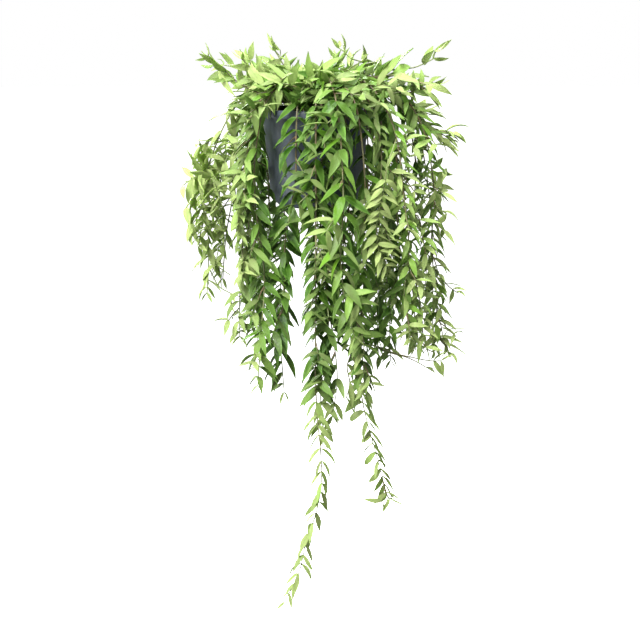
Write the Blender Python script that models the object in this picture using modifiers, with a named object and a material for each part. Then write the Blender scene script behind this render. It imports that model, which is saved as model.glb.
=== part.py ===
"""A potted trailing plant: a grower's pot full of soil, and stems with leaves in pairs.

Lengths are in metres and +Z is up. The origin is the centre of the pot in the plane of its
lip's underside, where a hanger would carry it. The front of the plant faces -Y, and an azimuth
is counted from there towards +X.
"""

import math
import random
from dataclasses import dataclass, field

import bmesh
import bpy
from mathutils import Matrix, Vector
from mathutils.bvhtree import BVHTree

# Gap that neighbouring pieces keep between them.
GAP = 0.0003

# The pot: outer sizes, with one wall thickness all over.
LIP_RADIUS = 0.085
LIP_HEIGHT = 0.010
LIP_ROUNDING = 0.0015
WALL = 0.0015
WALL_TOP_RADIUS = 0.0765
CORNER_RADIUS = 0.065
CORNER_Z = -0.115
BASE_RADIUS = 0.053
BASE_Z = -0.128
ROUND_SIDES = 36
DRAIN_COUNT = 6
DRAIN_RADIUS = 0.0035
DRAIN_RING_RADIUS = 0.034
DRAIN_SIDES = 10

# The soil, a little domed, below the lip's top edge.
SOIL_EDGE_Z = -0.002
SOIL_DOME = 0.003

# A three-sided stem and the plain hole that it stands in.
STEM_RADIUS = 0.0016
STEM_SIDES = 3
HOLE_SIDES = 6
HOLE_DEPTH = 0.025
HOLE_RADIUS = (STEM_RADIUS + GAP) / math.cos(math.pi / HOLE_SIDES)
HOLE_SPARE = 0.004

# Where the hanging stems of a row root, and how they arch over the lip: radius and height.
INNER_ARCH = ((0.058, 0.006), (0.063, 0.020), (0.073, 0.027), (0.085, 0.024), (0.094, 0.006),
              (0.099, -0.040))
MIDDLE_ARCH = ((0.040, 0.012), (0.048, 0.032), (0.066, 0.042), (0.090, 0.037), (0.113, 0.010),
               (0.129, -0.050))
OUTER_ARCH = ((0.020, 0.020), (0.030, 0.044), (0.052, 0.056), (0.084, 0.052), (0.120, 0.026),
              (0.148, -0.025), (0.163, -0.110))
HANG_STEP = 0.070
BEND_STEP = 0.045
SWAY = 0.007
SWAY_LENGTHS = (0.190, 0.330)

# Slots, where pairs of leaves sit on a real stem, counted from its tip: their spacing for leaves
# of full size. Every few slots carry a pair here. Angles are in degrees.
TIP_SLOT = 0.001
SLOT_SPACING = 0.0185
SLOT_SHIFT = 0.004
PAIR_SPACING = 0.074
BARE_ABOVE_SOIL = 0.004
PAIR_TURN = 68.0
PAIR_TURN_SHIFT = 20.0
LEAF_TURN_SHIFT = 8.0
HANGING_SPREADS = (28.0, 46.0)
UPRIGHT_SPREADS = (42.0, 62.0)

# Leaves of full size, as long as the photographed ones: lengths, widths as a share of them, the
# keel under the midrib and how far the tip curves down, as a share of the length. They are
# smaller near a stem's tip, and down the long tails, between two heights.
LEAF_LENGTHS = (0.036, 0.044)
LEAF_SLENDERNESS = (0.26, 0.32)
LEAF_KEEL = 0.0012
LEAF_ARCH = 0.10
LEAF_RINGS = 3
LEAF_RING_SPAN = 0.42
LEAF_WIDEST_POWER = 0.85
YOUNG_LEAVES = (0.55, 0.72, 0.88)
TAIL_HEIGHTS = (-0.340, -0.430)
TAIL_SIZE = 0.70
LIGHT_FROM_OUTSIDE = 0.75
LIGHT_FROM_ABOVE = 0.55
STEEP = 0.6
SEED = 7
SEED_STEP = 100

# Turns round the stem and changes of spread that are tried until a leaf is clear by the guard.
LEAF_TRIES = ((0, 0), (28, 0), (-28, 0), (0, -14), (52, 0), (-52, 0), (24, 16), (-24, 16), (80, 0),
              (-80, 0))
GUARD = 0.0009


@dataclass(frozen=True)
class Hanging:
    """A hanging stem: its azimuth in degrees, its lowest height and the size of its leaves.

    Towards its end it lies beside its azimuth by the drift and further out by the flare. `bends`
    replaces the drift where a stem wanders: heights, with how far sideways it is there. The reach
    widens the arch towards its low end, and the shoulder widens its middle.
    """

    azimuth: float
    end: float
    size: float = 1.0
    drift: float = 0.0
    flare: float = 0.0
    reach: float = 1.0
    shoulder: float = 1.0
    bends: tuple = ()


@dataclass(frozen=True)
class Upright:
    """A stem that stands up or leans out: where it roots and the points that it grows through."""

    root_azimuth: float
    root_radius: float
    points: tuple
    size: float = 0.80


INNER_STEMS = (
    Hanging(-16, -0.388, bends=((-0.10, 0.0), (-0.13, -0.010), (-0.165, -0.018),
                                (-0.25, -0.018), (-0.315, -0.024), (-0.388, -0.021))),
    Hanging(5, -0.450, drift=0.006),
    Hanging(12, -0.430, size=0.90, drift=0.002),
    Hanging(25, -0.315, drift=0.004),
    Hanging(47, -0.572, size=0.85, bends=((-0.10, 0.0), (-0.32, -0.007), (-0.366, -0.016),
                                         (-0.412, -0.016), (-0.459, 0.007), (-0.505, 0.033),
                                         (-0.552, 0.054), (-0.572, 0.060))),
    Hanging(70, -0.350, size=0.85),
    Hanging(104, -0.345, size=0.85),
    Hanging(140, -0.335, size=0.85),
    Hanging(176, -0.300, size=0.85),
    Hanging(210, -0.345, size=0.85),
    Hanging(244, -0.345, size=0.85, drift=0.006),
    Hanging(297, -0.300, size=0.90, drift=0.006),
)
MIDDLE_STEMS = (
    Hanging(0, -0.697, size=0.90, reach=0.90,
            bends=((-0.10, 0.0), (-0.36, -0.001), (-0.433, 0.003), (-0.478, 0.008),
                   (-0.539, 0.007), (-0.568, -0.004), (-0.606, -0.015), (-0.667, -0.028),
                   (-0.697, -0.046))),
    Hanging(30, -0.385, size=0.80, drift=-0.004),
    Hanging(60, -0.345, size=0.75),
    Hanging(91, -0.345, size=0.75, reach=1.10),
    Hanging(122, -0.310, size=0.80),
    Hanging(158, -0.320, size=0.80),
    Hanging(204, -0.235, size=0.80),
    Hanging(229, -0.320, size=0.80),
    Hanging(268, -0.238, size=0.75, flare=0.012, reach=0.93, shoulder=0.88),
    Hanging(312, -0.305, size=0.75, flare=0.008, shoulder=0.90),
    Hanging(320, -0.372, size=0.90, bends=((-0.12, 0.0), (-0.165, 0.007), (-0.27, 0.011),
                                          (-0.345, 0.011), (-0.372, 0.005))),
    Hanging(43, -0.215, size=0.65, drift=0.006, reach=1.02),
)
OUTER_STEMS = (
    Hanging(273, -0.256, size=0.75, flare=-0.010, shoulder=0.84),
    Hanging(317, -0.215, size=0.75, reach=0.93, shoulder=0.88),
    Hanging(249, -0.215, size=0.75, reach=0.94, shoulder=0.86),
    Hanging(216, -0.250, size=0.80, reach=0.94, shoulder=0.90),
    Hanging(180, -0.240, size=0.80, reach=0.96),
    Hanging(142, -0.290, size=0.80),
    Hanging(108, -0.322, size=0.72, flare=0.020, reach=1.08),
    Hanging(76, -0.335, size=0.72, reach=1.06, shoulder=1.04),
    Hanging(48, -0.320, size=0.72, drift=0.034),
    Hanging(13, -0.290, size=1.0, drift=0.010),
)
UPRIGHT_STEMS = (
    Upright(283, 0.010, ((-0.095, -0.026, 0.039), (-0.126, -0.028, 0.063),
                         (-0.151, -0.030, 0.083))),
    Upright(256, 0.031, ((-0.070, 0.018, 0.050), (-0.134, 0.034, 0.070))),
    Upright(307, 0.031, ((-0.067, -0.035, 0.037), (-0.086, -0.042, 0.062),
                         (-0.102, -0.048, 0.080))),
    Upright(316, 0.011, ((-0.034, -0.014, 0.052), (-0.057, -0.016, 0.090))),
    Upright(160, 0.008, ((0.014, 0.010, 0.050), (0.027, 0.004, 0.080)), size=0.65),
    Upright(32, 0.031, ((0.032, -0.040, 0.054), (0.064, -0.044, 0.076))),
    Upright(93, 0.031, ((0.056, 0.008, 0.062), (0.085, 0.016, 0.074))),
    Upright(84, 0.010, ((0.088, -0.011, 0.058), (0.138, -0.010, 0.067), (0.167, -0.010, 0.080)),
            size=0.95),
    Upright(67, 0.031, ((0.068, -0.028, 0.050), (0.120, -0.034, 0.056), (0.146, -0.036, 0.044)),
            size=0.95),
    Upright(239, 0.031, ((-0.050, 0.033, 0.058), (-0.070, 0.080, 0.064))),
    Upright(166, 0.031, ((0.018, 0.059, 0.058), (0.040, 0.098, 0.066))),
    Upright(350, 0.030, ((-0.010, -0.052, 0.048), (-0.020, -0.090, 0.038)), size=0.95),
    Upright(97, 0.052, ((0.070, 0.008, 0.030), (0.110, 0.009, 0.026), (0.149, 0.004, -0.007),
                        (0.178, -0.002, -0.025), (0.196, -0.004, -0.036)), size=0.65),
)

PLASTIC = ("pot_plastic", (0.045, 0.050, 0.062), 0.50)
POTTING_MIX = ("potting_mix", (0.040, 0.028, 0.018), 0.95)
FOLIAGE = ("foliage", (0.110, 0.240, 0.045), 0.42)


@dataclass(frozen=True)
class Leaf:
    """A leaf's root on the stem's centre line, the stem's direction there, and its own sizes."""

    root: Vector
    along: Vector
    turn: float
    spread: float
    length: float
    width: float


@dataclass
class Stem:
    """A stem with the route of its centre line and its slots, each a pair of leaves."""

    name: str
    route: list
    slots: list
    every: int
    tube: object = None
    blades: list = field(default_factory=list)


def clear_scene():
    """Removes every object that the file opens with."""
    for obj in list(bpy.data.objects):
        bpy.data.objects.remove(obj, do_unlink=True)


def new_collection(name):
    """A new collection in the scene."""
    collection = bpy.data.collections.new(name)
    bpy.context.scene.collection.children.link(collection)
    return collection


def material(name, colour, roughness):
    """A plain Principled material, not metallic."""
    made = bpy.data.materials.new(name)
    made.use_nodes = True
    shader = made.node_tree.nodes["Principled BSDF"]
    shader.inputs["Base Color"].default_value = (*colour, 1.0)
    shader.inputs["Roughness"].default_value = roughness
    shader.inputs["Metallic"].default_value = 0.0
    return made


def new_object(name, mesh, collection):
    """A new object in a collection."""
    obj = bpy.data.objects.new(name, mesh)
    collection.objects.link(obj)
    return obj


def evaluated_mesh(obj):
    """A new mesh of the object with its modifiers applied."""
    bpy.context.view_layer.update()
    graph = bpy.context.evaluated_depsgraph_get()
    return bpy.data.meshes.new_from_object(obj.evaluated_get(graph))


def apply_modifiers(obj):
    """Gives the object its evaluated mesh and drops its modifiers."""
    mesh = evaluated_mesh(obj)
    spent = obj.data
    obj.modifiers.clear()
    obj.data = mesh
    bpy.data.meshes.remove(spent)


def shade_round(obj, angle=math.radians(35)):
    """Shades the object smooth, with its sharp edges kept."""
    obj.data.shade_smooth()
    obj.data.set_sharp_from_angle(angle=angle)


def turned(name, profile, collection):
    """A solid of revolution from a profile of radius and height, top to bottom outside."""
    mesh = bpy.data.meshes.new(name)
    edges = [(i, i + 1) for i in range(len(profile) - 1)]
    mesh.from_pydata([(radius, 0.0, z) for radius, z in profile], edges, [])
    obj = new_object(name, mesh, collection)
    screw = obj.modifiers.new("turn", "SCREW")
    screw.steps = screw.render_steps = ROUND_SIDES
    screw.use_merge_vertices = True
    screw.merge_threshold = 0.00005
    screw.use_normal_calculate = False
    return obj


def cut(obj, cutter):
    """Cuts the cutter's shape out of the object."""
    boolean = obj.modifiers.new("cut", "BOOLEAN")
    boolean.operation = "DIFFERENCE"
    boolean.object = cutter


def cylinders(name, places, radius, sides, collection):
    """One cutter of upright cylinders: each place is x, y, the lowest and the highest height."""
    shape = bmesh.new()
    for x, y, low, high in places:
        centre = Matrix.Translation((x, y, (low + high) / 2))
        bmesh.ops.create_cone(shape, cap_ends=True, segments=sides, radius1=radius, radius2=radius,
                              depth=high - low, matrix=centre)
    mesh = bpy.data.meshes.new(name)
    shape.to_mesh(mesh)
    shape.free()
    obj = new_object(name, mesh, collection)
    obj.hide_render = True
    obj.display_type = "WIRE"
    return obj


def polar(azimuth, radius, z=0.0):
    """The point at an azimuth in degrees, counted from the front towards +X."""
    angle = math.radians(azimuth)
    return Vector((radius * math.sin(angle), -radius * math.cos(angle), z))


def inner_radius(z):
    """The pot's inner radius at a height on its tapered wall."""
    share = (LIP_HEIGHT - z) / (LIP_HEIGHT - CORNER_Z)
    return WALL_TOP_RADIUS + share * (CORNER_RADIUS - WALL_TOP_RADIUS) - WALL


def soil_top(radius):
    """The height of the domed soil at a radius."""
    return SOIL_EDGE_Z + SOIL_DOME * (1 - radius / inner_radius(SOIL_EDGE_Z))


def make_pot(parts, cutters):
    """The pot: a tapered wall, a turned-out lip with a skirt, a chamfered foot and drain holes."""
    floor = BASE_Z + WALL
    skirt_inside = LIP_RADIUS - WALL
    profile = (
        (0.0, floor),
        (BASE_RADIUS - WALL, floor),
        (CORNER_RADIUS - WALL, CORNER_Z),
        (WALL_TOP_RADIUS - WALL, LIP_HEIGHT - LIP_ROUNDING),
        (WALL_TOP_RADIUS - WALL + LIP_ROUNDING, LIP_HEIGHT),
        (LIP_RADIUS - LIP_ROUNDING, LIP_HEIGHT),
        (LIP_RADIUS, LIP_HEIGHT - LIP_ROUNDING),
        (LIP_RADIUS, 0.0),
        (skirt_inside, 0.0),
        (skirt_inside, LIP_HEIGHT - 2 * WALL),
        (WALL_TOP_RADIUS, LIP_HEIGHT - 2 * WALL),
        (CORNER_RADIUS, CORNER_Z),
        (BASE_RADIUS, BASE_Z),
        (0.0, BASE_Z),
    )
    pot = turned("pot", profile, parts)
    centres = (polar(360 * i / DRAIN_COUNT, DRAIN_RING_RADIUS) for i in range(DRAIN_COUNT))
    places = [(p.x, p.y, BASE_Z - WALL, floor + WALL) for p in centres]
    cut(pot, cylinders("drain_cutter", places, DRAIN_RADIUS, DRAIN_SIDES, cutters))
    apply_modifiers(pot)
    shade_round(pot)
    pot.data.materials.append(material(*PLASTIC))
    return pot


def make_soil(stems, parts, cutters):
    """The soil: the pot's inner shape less the gap, with a plain hole for each stem."""
    edge_radius = inner_radius(SOIL_EDGE_Z) - GAP
    profile = (
        (0.0, soil_top(0.0)),
        (edge_radius, SOIL_EDGE_Z),
        (CORNER_RADIUS - WALL - GAP, CORNER_Z + GAP),
        (BASE_RADIUS - WALL - 2 * GAP, BASE_Z + WALL + GAP),
        (0.0, BASE_Z + WALL + GAP),
    )
    soil = turned("soil", profile, parts)
    roots = [stem.route[0] for stem in stems]
    places = [(p.x, p.y, p.z - GAP, p.z + HOLE_DEPTH + HOLE_SPARE) for p in roots]
    cut(soil, cylinders("stem_hole_cutter", places, HOLE_RADIUS, HOLE_SIDES, cutters))
    apply_modifiers(soil)
    shade_round(soil)
    soil.data.materials.append(material(*POTTING_MIX))
    return soil


def smooth(points):
    """Adds a midpoint of a smooth curve to each stretch between the points."""
    result = []
    for i, (here, there) in enumerate(zip(points, points[1:])):
        before, after = points[max(i - 1, 0)], points[min(i + 2, len(points) - 1)]
        result += [here, ((here + there) * 9 - before - after) / 16]
    return [*result, points[-1]]


def wander(row, z):
    """How far a stem with bends is beside its azimuth at a height."""
    for (high, at_high), (low, at_low) in zip(row.bends, row.bends[1:]):
        if low <= z <= high:
            return at_high + (at_low - at_high) * (high - z) / (high - low)
    return 0.0


def hanging_route(row, arch, draw):
    """The centre line of a hanging stem: up out of the soil, over the lip and down."""
    radius = arch[0][0]
    points = [polar(row.azimuth, radius, soil_top(radius) - HOLE_DEPTH + GAP)]
    for i, (radius, z) in enumerate(arch):
        share = i / (len(arch) - 1)
        radius *= 1 + (row.reach - 1) * share + (row.shoulder - 1) * math.sin(math.pi * share)
        points.append(polar(row.azimuth, radius, z))
    across, out = polar(row.azimuth + 90, 1.0), polar(row.azimuth, 1.0)
    waves = [(draw.uniform(0, math.tau), draw.uniform(*SWAY_LENGTHS)) for _ in range(2)]
    steps = max(2, round((z - row.end) / (BEND_STEP if row.bends else HANG_STEP)))
    for step in range(1, steps + 1):
        share = step / steps
        low = z + (row.end - z) * share
        beside, apart = (SWAY * math.sin(math.tau * low / length + phase) * min(1, 2 * share)
                         for phase, length in waves)
        beside = wander(row, low) if row.bends else beside + row.drift * share ** 2
        apart += row.flare * share ** 2
        points.append(polar(row.azimuth, radius, low) + across * beside + out * apart)
    return points


def upright_route(row):
    """The centre line of an upright stem: straight out of the soil, then leaning to its tip."""
    surface = soil_top(row.root_radius)
    low = polar(row.root_azimuth, row.root_radius, surface - HOLE_DEPTH + GAP)
    out = polar(row.root_azimuth, row.root_radius, surface + HOLE_SPARE)
    points = [out, *map(Vector, row.points)]
    return [low, *smooth(points)]


def place_on(route, distance):
    """The point at a distance from the tip along the route, and the direction to the tip."""
    for there, here in zip(reversed(route), list(reversed(route))[1:]):
        stretch = (there - here).length
        if distance <= stretch:
            along = (there - here) / stretch
            return there - along * distance, along
        distance -= stretch
    return route[0], (route[1] - route[0]).normalized()


def tail_size(z):
    """The size of the leaves at a height, as a share of those above the long tails."""
    high, low = TAIL_HEIGHTS
    share = min(1.0, max(0.0, (high - z) / (high - low)))
    return 1 + (TAIL_SIZE - 1) * share


def leaf_slots(route, spreads, size, draw):
    """The stem's pairs of leaves, counted from its tip down to the soil."""
    slots = []
    distance = TIP_SLOT
    turn = draw.uniform(0, 360)
    above_soil = sum((there - here).length for here, there in zip(route[1:], route[2:]))
    while distance < above_soil - BARE_ABOVE_SOIL:
        root, along = place_on(route, distance)
        young = YOUNG_LEAVES[len(slots)] if len(slots) < len(YOUNG_LEAVES) else 1.0
        pair = []
        for side in (0, 180):
            turned_by = turn + side + draw.uniform(-LEAF_TURN_SHIFT, LEAF_TURN_SHIFT)
            length = draw.uniform(*LEAF_LENGTHS) * young * size * tail_size(root.z)
            width = length * draw.uniform(*LEAF_SLENDERNESS)
            pair.append(Leaf(root, along, turned_by, draw.uniform(*spreads), length, width))
        slots.append(pair)
        turn += PAIR_TURN + draw.uniform(-PAIR_TURN_SHIFT, PAIR_TURN_SHIFT)
        distance += (SLOT_SPACING + draw.uniform(-SLOT_SHIFT, SLOT_SHIFT)) * size
    return slots


def slots_per_pair(size):
    """How many slots of a stem go by for each that carries a pair of leaves here."""
    return round(PAIR_SPACING / (SLOT_SPACING * size))


def plan_stems():
    """Every stem of the plant with its route and its slots."""
    stems = []
    rows = (("inner", INNER_STEMS, INNER_ARCH), ("middle", MIDDLE_STEMS, MIDDLE_ARCH),
            ("outer", OUTER_STEMS, OUTER_ARCH), ("upright", UPRIGHT_STEMS, None))
    for kind, members, arch in rows:
        for number, row in enumerate(members, 1):
            draw = random.Random(SEED + SEED_STEP * len(stems))
            route = hanging_route(row, arch, draw) if arch else upright_route(row)
            spreads = HANGING_SPREADS if arch else UPRIGHT_SPREADS
            slots = leaf_slots(route, spreads, row.size, draw)
            name = f"{kind}_stem_{number:02d}"
            stems.append(Stem(name, route, slots, slots_per_pair(row.size)))
    return stems


def poly_curve(name, places, collection):
    """A curve object with one spline of straight stretches."""
    curve = bpy.data.curves.new(name, "CURVE")
    curve.dimensions = "3D"
    spline = curve.splines.new("POLY")
    spline.points.add(len(places) - 1)
    for point, place in zip(spline.points, places):
        point.co = (*place, 1.0)
    return new_object(name, curve, collection)


def make_section(cutters):
    """The stems' cross-section, a guide that isn't a piece."""
    corners = [polar(360 * i / STEM_SIDES, STEM_RADIUS) for i in range(STEM_SIDES)]
    section = poly_curve("stem_section", corners, cutters)
    section.data.splines[0].use_cyclic_u = True
    section.hide_render = True
    section.display_type = "WIRE"
    return section


def make_tube(stem, section, collection):
    """The stem's own tube, as a closed mesh."""
    guide = poly_curve(stem.name, stem.route, collection)
    curve = guide.data
    curve.bevel_mode = "OBJECT"
    curve.bevel_object = section
    curve.use_fill_caps = True
    mesh = evaluated_mesh(guide)
    matrix = guide.matrix_world.copy()
    bpy.data.objects.remove(guide, do_unlink=True)
    bpy.data.curves.remove(curve)
    shape = bmesh.new()
    shape.from_mesh(mesh)
    bmesh.ops.remove_doubles(shape, verts=shape.verts, dist=0.00001)
    bmesh.ops.triangulate(shape, faces=shape.faces)
    bmesh.ops.recalc_face_normals(shape, faces=shape.faces)
    shape.to_mesh(mesh)
    shape.free()
    tube = new_object(stem.name, mesh, collection)
    tube.matrix_world = matrix
    return tube


def leaf_matrix(leaf, turn_by, spread_by):
    """The leaf's axes: width along x, length along y and its upper face along z."""
    up = Vector((0, 0, 1))
    outward = Vector((leaf.root.x, leaf.root.y, 0)).normalized()
    level = outward if abs(leaf.along.z) > STEEP else up
    side = (level - level.project(leaf.along)).normalized()
    side.rotate(Matrix.Rotation(math.radians(leaf.turn + turn_by), 3, leaf.along))
    spread = math.radians(leaf.spread + spread_by)
    length = leaf.along * math.cos(spread) + side * math.sin(spread)
    face = side * math.cos(spread) - leaf.along * math.sin(spread)
    face += outward * LIGHT_FROM_OUTSIDE + up * LIGHT_FROM_ABOVE
    face = (face - face.project(length)).normalized()
    width = length.cross(face)
    return Matrix.Translation(leaf.root) @ Matrix((width, length, face)).transposed().to_4x4()


def blade(leaf, matrix, spare=0.0):
    """A pointed, arched blade with a keel under its midrib, made larger all round by the spare.

    It is a three-sided sphere drawn out between its poles, which become the root and the tip.
    """
    shape = bmesh.new()
    bmesh.ops.create_uvsphere(shape, u_segments=3, v_segments=LEAF_RINGS, radius=1.0)
    nearly = 0.01
    for vert in shape.verts:
        pole = abs(vert.co.z) > 1 - nearly
        share = 0.5 + vert.co.z * (0.5 if pole else LEAF_RING_SPAN)
        swell = 0.0 if pole else math.sin(math.pi * share ** LEAF_WIDEST_POWER)
        keel = not pole and abs(vert.co.x) < nearly
        half = 0.0 if pole or keel else math.copysign(leaf.width / 2 + spare, vert.co.x)
        depth = spare - leaf.length * LEAF_ARCH * share ** 2
        if keel:
            depth -= LEAF_KEEL + 2 * spare
        vert.co = (half * swell, share * (leaf.length + spare), depth)
    bmesh.ops.triangulate(shape, faces=shape.faces)
    bmesh.ops.recalc_face_normals(shape, faces=shape.faces)
    bmesh.ops.transform(shape, matrix=matrix, verts=shape.verts)
    return shape


@dataclass
class Solid:
    """What a new leaf has to keep clear of, with its box for a quick test."""

    owner: str
    slot: int
    low: Vector
    high: Vector
    tree: BVHTree


def solid_of(owner, slot, shape):
    """The solid of a bmesh."""
    places = [vert.co for vert in shape.verts]
    low = Vector(min(p[i] for p in places) for i in range(3))
    high = Vector(max(p[i] for p in places) for i in range(3))
    return Solid(owner, slot, low, high, BVHTree.FromBMesh(shape))


def mesh_solid(owner, mesh):
    """The solid of a finished mesh."""
    shape = bmesh.new()
    shape.from_mesh(mesh)
    solid = solid_of(owner, -1, shape)
    shape.free()
    return solid


def touches(guard, solid):
    """Whether the two solids cross."""
    apart = any(guard.low[i] > solid.high[i] or guard.high[i] < solid.low[i] for i in range(3))
    return not apart and bool(guard.tree.overlap(solid.tree))


def clear_matrix(leaf, name, slot, solids):
    """The first of the leaf's tried places that is clear of every solid but its own stem."""
    for turn_by, spread_by in LEAF_TRIES:
        matrix = leaf_matrix(leaf, turn_by, spread_by)
        shape = blade(leaf, matrix, GUARD)
        guard = solid_of(name, slot, shape)
        shape.free()
        others = (s for s in solids if s.owner != name or s.slot not in (-1, slot))
        if not any(touches(guard, other) for other in others):
            return matrix
    return None


def grow_leaves(stems, solids, collection):
    """Adds the leaves pair by pair from the tips, and leaves out those with no clear place."""
    for number in range(max(len(stem.slots) for stem in stems)):
        for stem in stems:
            slot = number * stem.every
            for leaf in stem.slots[slot] if slot < len(stem.slots) else ():
                matrix = clear_matrix(leaf, stem.name, slot, solids)
                if matrix is None:
                    continue
                shape = blade(leaf, matrix)
                solids.append(solid_of(stem.name, slot, shape))
                mesh = bpy.data.meshes.new("blade")
                shape.to_mesh(mesh)
                shape.free()
                stem.blades.append(new_object("blade", mesh, collection))


def join_blades(stem, finish):
    """Joins the stem's blades to its tube in one body."""
    group = bpy.data.collections.new("blades")
    bpy.context.scene.collection.children.link(group)
    for obj in stem.blades:
        group.objects.link(obj)
    union = stem.tube.modifiers.new("join", "BOOLEAN")
    union.operation = "UNION"
    union.operand_type = "COLLECTION"
    union.collection = group
    union.solver = "MANIFOLD"
    apply_modifiers(stem.tube)
    for obj in stem.blades:
        mesh = obj.data
        bpy.data.objects.remove(obj, do_unlink=True)
        bpy.data.meshes.remove(mesh)
    bpy.data.collections.remove(group)
    shade_round(stem.tube)
    stem.tube.data.materials.append(finish)


def main():
    """Builds the plant in its pot."""
    clear_scene()
    parts = new_collection("potted_trailing_plant")
    cutters = new_collection("cutters")
    loose = new_collection("loose_blades")
    stems = plan_stems()
    pot = make_pot(parts, cutters)
    soil = make_soil(stems, parts, cutters)
    section = make_section(cutters)
    for stem in stems:
        stem.tube = make_tube(stem, section, parts)
    solids = [mesh_solid("pot", pot.data), mesh_solid("soil", soil.data)]
    solids += [mesh_solid(stem.name, stem.tube.data) for stem in stems]
    grow_leaves(stems, solids, loose)
    finish = material(*FOLIAGE)
    for stem in stems:
        join_blades(stem, finish)
    bpy.data.collections.remove(loose)


main()
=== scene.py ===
"""Looks of the potted trailing plant: its pot, its potting mix and its leafy stems.

Lengths are in metres and +Z is up. The front of the plant faces -Y, and an azimuth is counted
from there towards +X. The stems repeat the design's own routes and leaf places, so each fine
piece lies where its plain solid is, and it adds the leaves between them.
"""

import logging
import math
import random
from collections.abc import Callable
from dataclasses import dataclass, field, replace
from enum import Enum

import bmesh
import bpy
from mathutils import Matrix, Vector
from mathutils.kdtree import KDTree


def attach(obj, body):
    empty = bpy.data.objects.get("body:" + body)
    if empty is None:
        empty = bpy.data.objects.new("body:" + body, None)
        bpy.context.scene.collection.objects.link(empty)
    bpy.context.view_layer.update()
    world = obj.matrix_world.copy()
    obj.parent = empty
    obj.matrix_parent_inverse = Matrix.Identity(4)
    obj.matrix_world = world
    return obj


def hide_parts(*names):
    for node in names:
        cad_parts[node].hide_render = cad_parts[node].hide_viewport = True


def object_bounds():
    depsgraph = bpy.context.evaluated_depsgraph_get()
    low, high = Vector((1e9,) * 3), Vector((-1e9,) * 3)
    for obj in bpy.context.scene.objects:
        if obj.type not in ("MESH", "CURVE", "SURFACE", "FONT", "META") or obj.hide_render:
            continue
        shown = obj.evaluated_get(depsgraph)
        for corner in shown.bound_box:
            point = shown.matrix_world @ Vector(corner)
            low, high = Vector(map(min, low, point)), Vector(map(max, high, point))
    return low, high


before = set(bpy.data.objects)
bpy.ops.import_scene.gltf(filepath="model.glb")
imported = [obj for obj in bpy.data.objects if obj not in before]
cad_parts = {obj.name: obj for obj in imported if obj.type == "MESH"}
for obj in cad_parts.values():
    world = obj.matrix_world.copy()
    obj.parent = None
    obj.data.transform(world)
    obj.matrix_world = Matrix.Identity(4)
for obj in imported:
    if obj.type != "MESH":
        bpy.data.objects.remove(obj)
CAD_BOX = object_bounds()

Pair = tuple[float, float]
Triple = tuple[float, float, float]
Colour = Triple
Draw = random.Random

LOG = logging.getLogger("potted_plant")
BODY = "root"
UP = Vector((0.0, 0.0, 1.0))


class Signal:
    """A shader socket that takes part in Python expressions, each adding a Math node."""

    def __init__(self, nodes: "Nodes", socket: bpy.types.NodeSocket) -> None:
        """Keeps the nodes that it adds to and the socket that gives the value."""
        self.nodes = nodes
        self.socket = socket

    def maths(self, operation: str, *values: "float | Signal", clamp: bool = False) -> "Signal":
        """Adds a Math node.

        Args:
            operation: the node's operation.
            values: the values of its sockets, in order.
            clamp: whether the result is kept between 0 and 1.

        Returns:
            The node's result.
        """
        settings = {"operation": operation, "use_clamp": clamp}
        return self.nodes.add("ShaderNodeMath", settings, dict(enumerate(values)))

    def __add__(self, other: "float | Signal") -> "Signal":
        """The sum."""
        return self.maths("ADD", self, other)

    def __radd__(self, other: float) -> "Signal":
        """The sum, with the number first."""
        return self.maths("ADD", other, self)

    def __sub__(self, other: "float | Signal") -> "Signal":
        """The difference."""
        return self.maths("SUBTRACT", self, other)

    def __rsub__(self, other: float) -> "Signal":
        """The difference, with the number first."""
        return self.maths("SUBTRACT", other, self)

    def __mul__(self, other: "float | Signal") -> "Signal":
        """The product."""
        return self.maths("MULTIPLY", self, other)

    def __rmul__(self, other: float) -> "Signal":
        """The product, with the number first."""
        return self.maths("MULTIPLY", other, self)

    def __abs__(self) -> "Signal":
        """The size without its sign."""
        return self.maths("ABSOLUTE", self)

    def sine(self) -> "Signal":
        """The sine, in radians."""
        return self.maths("SINE", self)

    def clamped(self) -> "Signal":
        """The value kept between 0 and 1."""
        return self.maths("ADD", self, 0.0, clamp=True)


class Nodes:
    """The shader nodes of a material or of the world."""

    def __init__(self, owner: bpy.types.Material | bpy.types.World) -> None:
        """Turns the owner's nodes on."""
        owner.use_nodes = True
        self.tree = owner.node_tree

    def plug(self, socket: bpy.types.NodeSocket, value: "float | tuple | Signal") -> None:
        """Gives a socket its value.

        Args:
            socket: the input socket.
            value: a number, a colour, a vector, or the signal to link.
        """
        if isinstance(value, Signal):
            self.tree.links.new(value.socket, socket)
        elif socket.type == "RGBA":
            socket.default_value = (*value, 1.0)
        else:
            socket.default_value = value

    def add(self, kind: str, settings: dict | None = None, sockets: dict | None = None,
            output: int | str = 0) -> Signal:
        """Adds a node.

        Args:
            kind: the node's type.
            settings: its settings.
            sockets: values or signals for its sockets, by name or number.
            output: the output to give back.

        Returns:
            The signal of that output.
        """
        node = self.tree.nodes.new(kind)
        for name, value in (settings or {}).items():
            setattr(node, name, value)
        for name, value in (sockets or {}).items():
            self.plug(node.inputs[name], value)
        return Signal(self, node.outputs[output])


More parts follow.
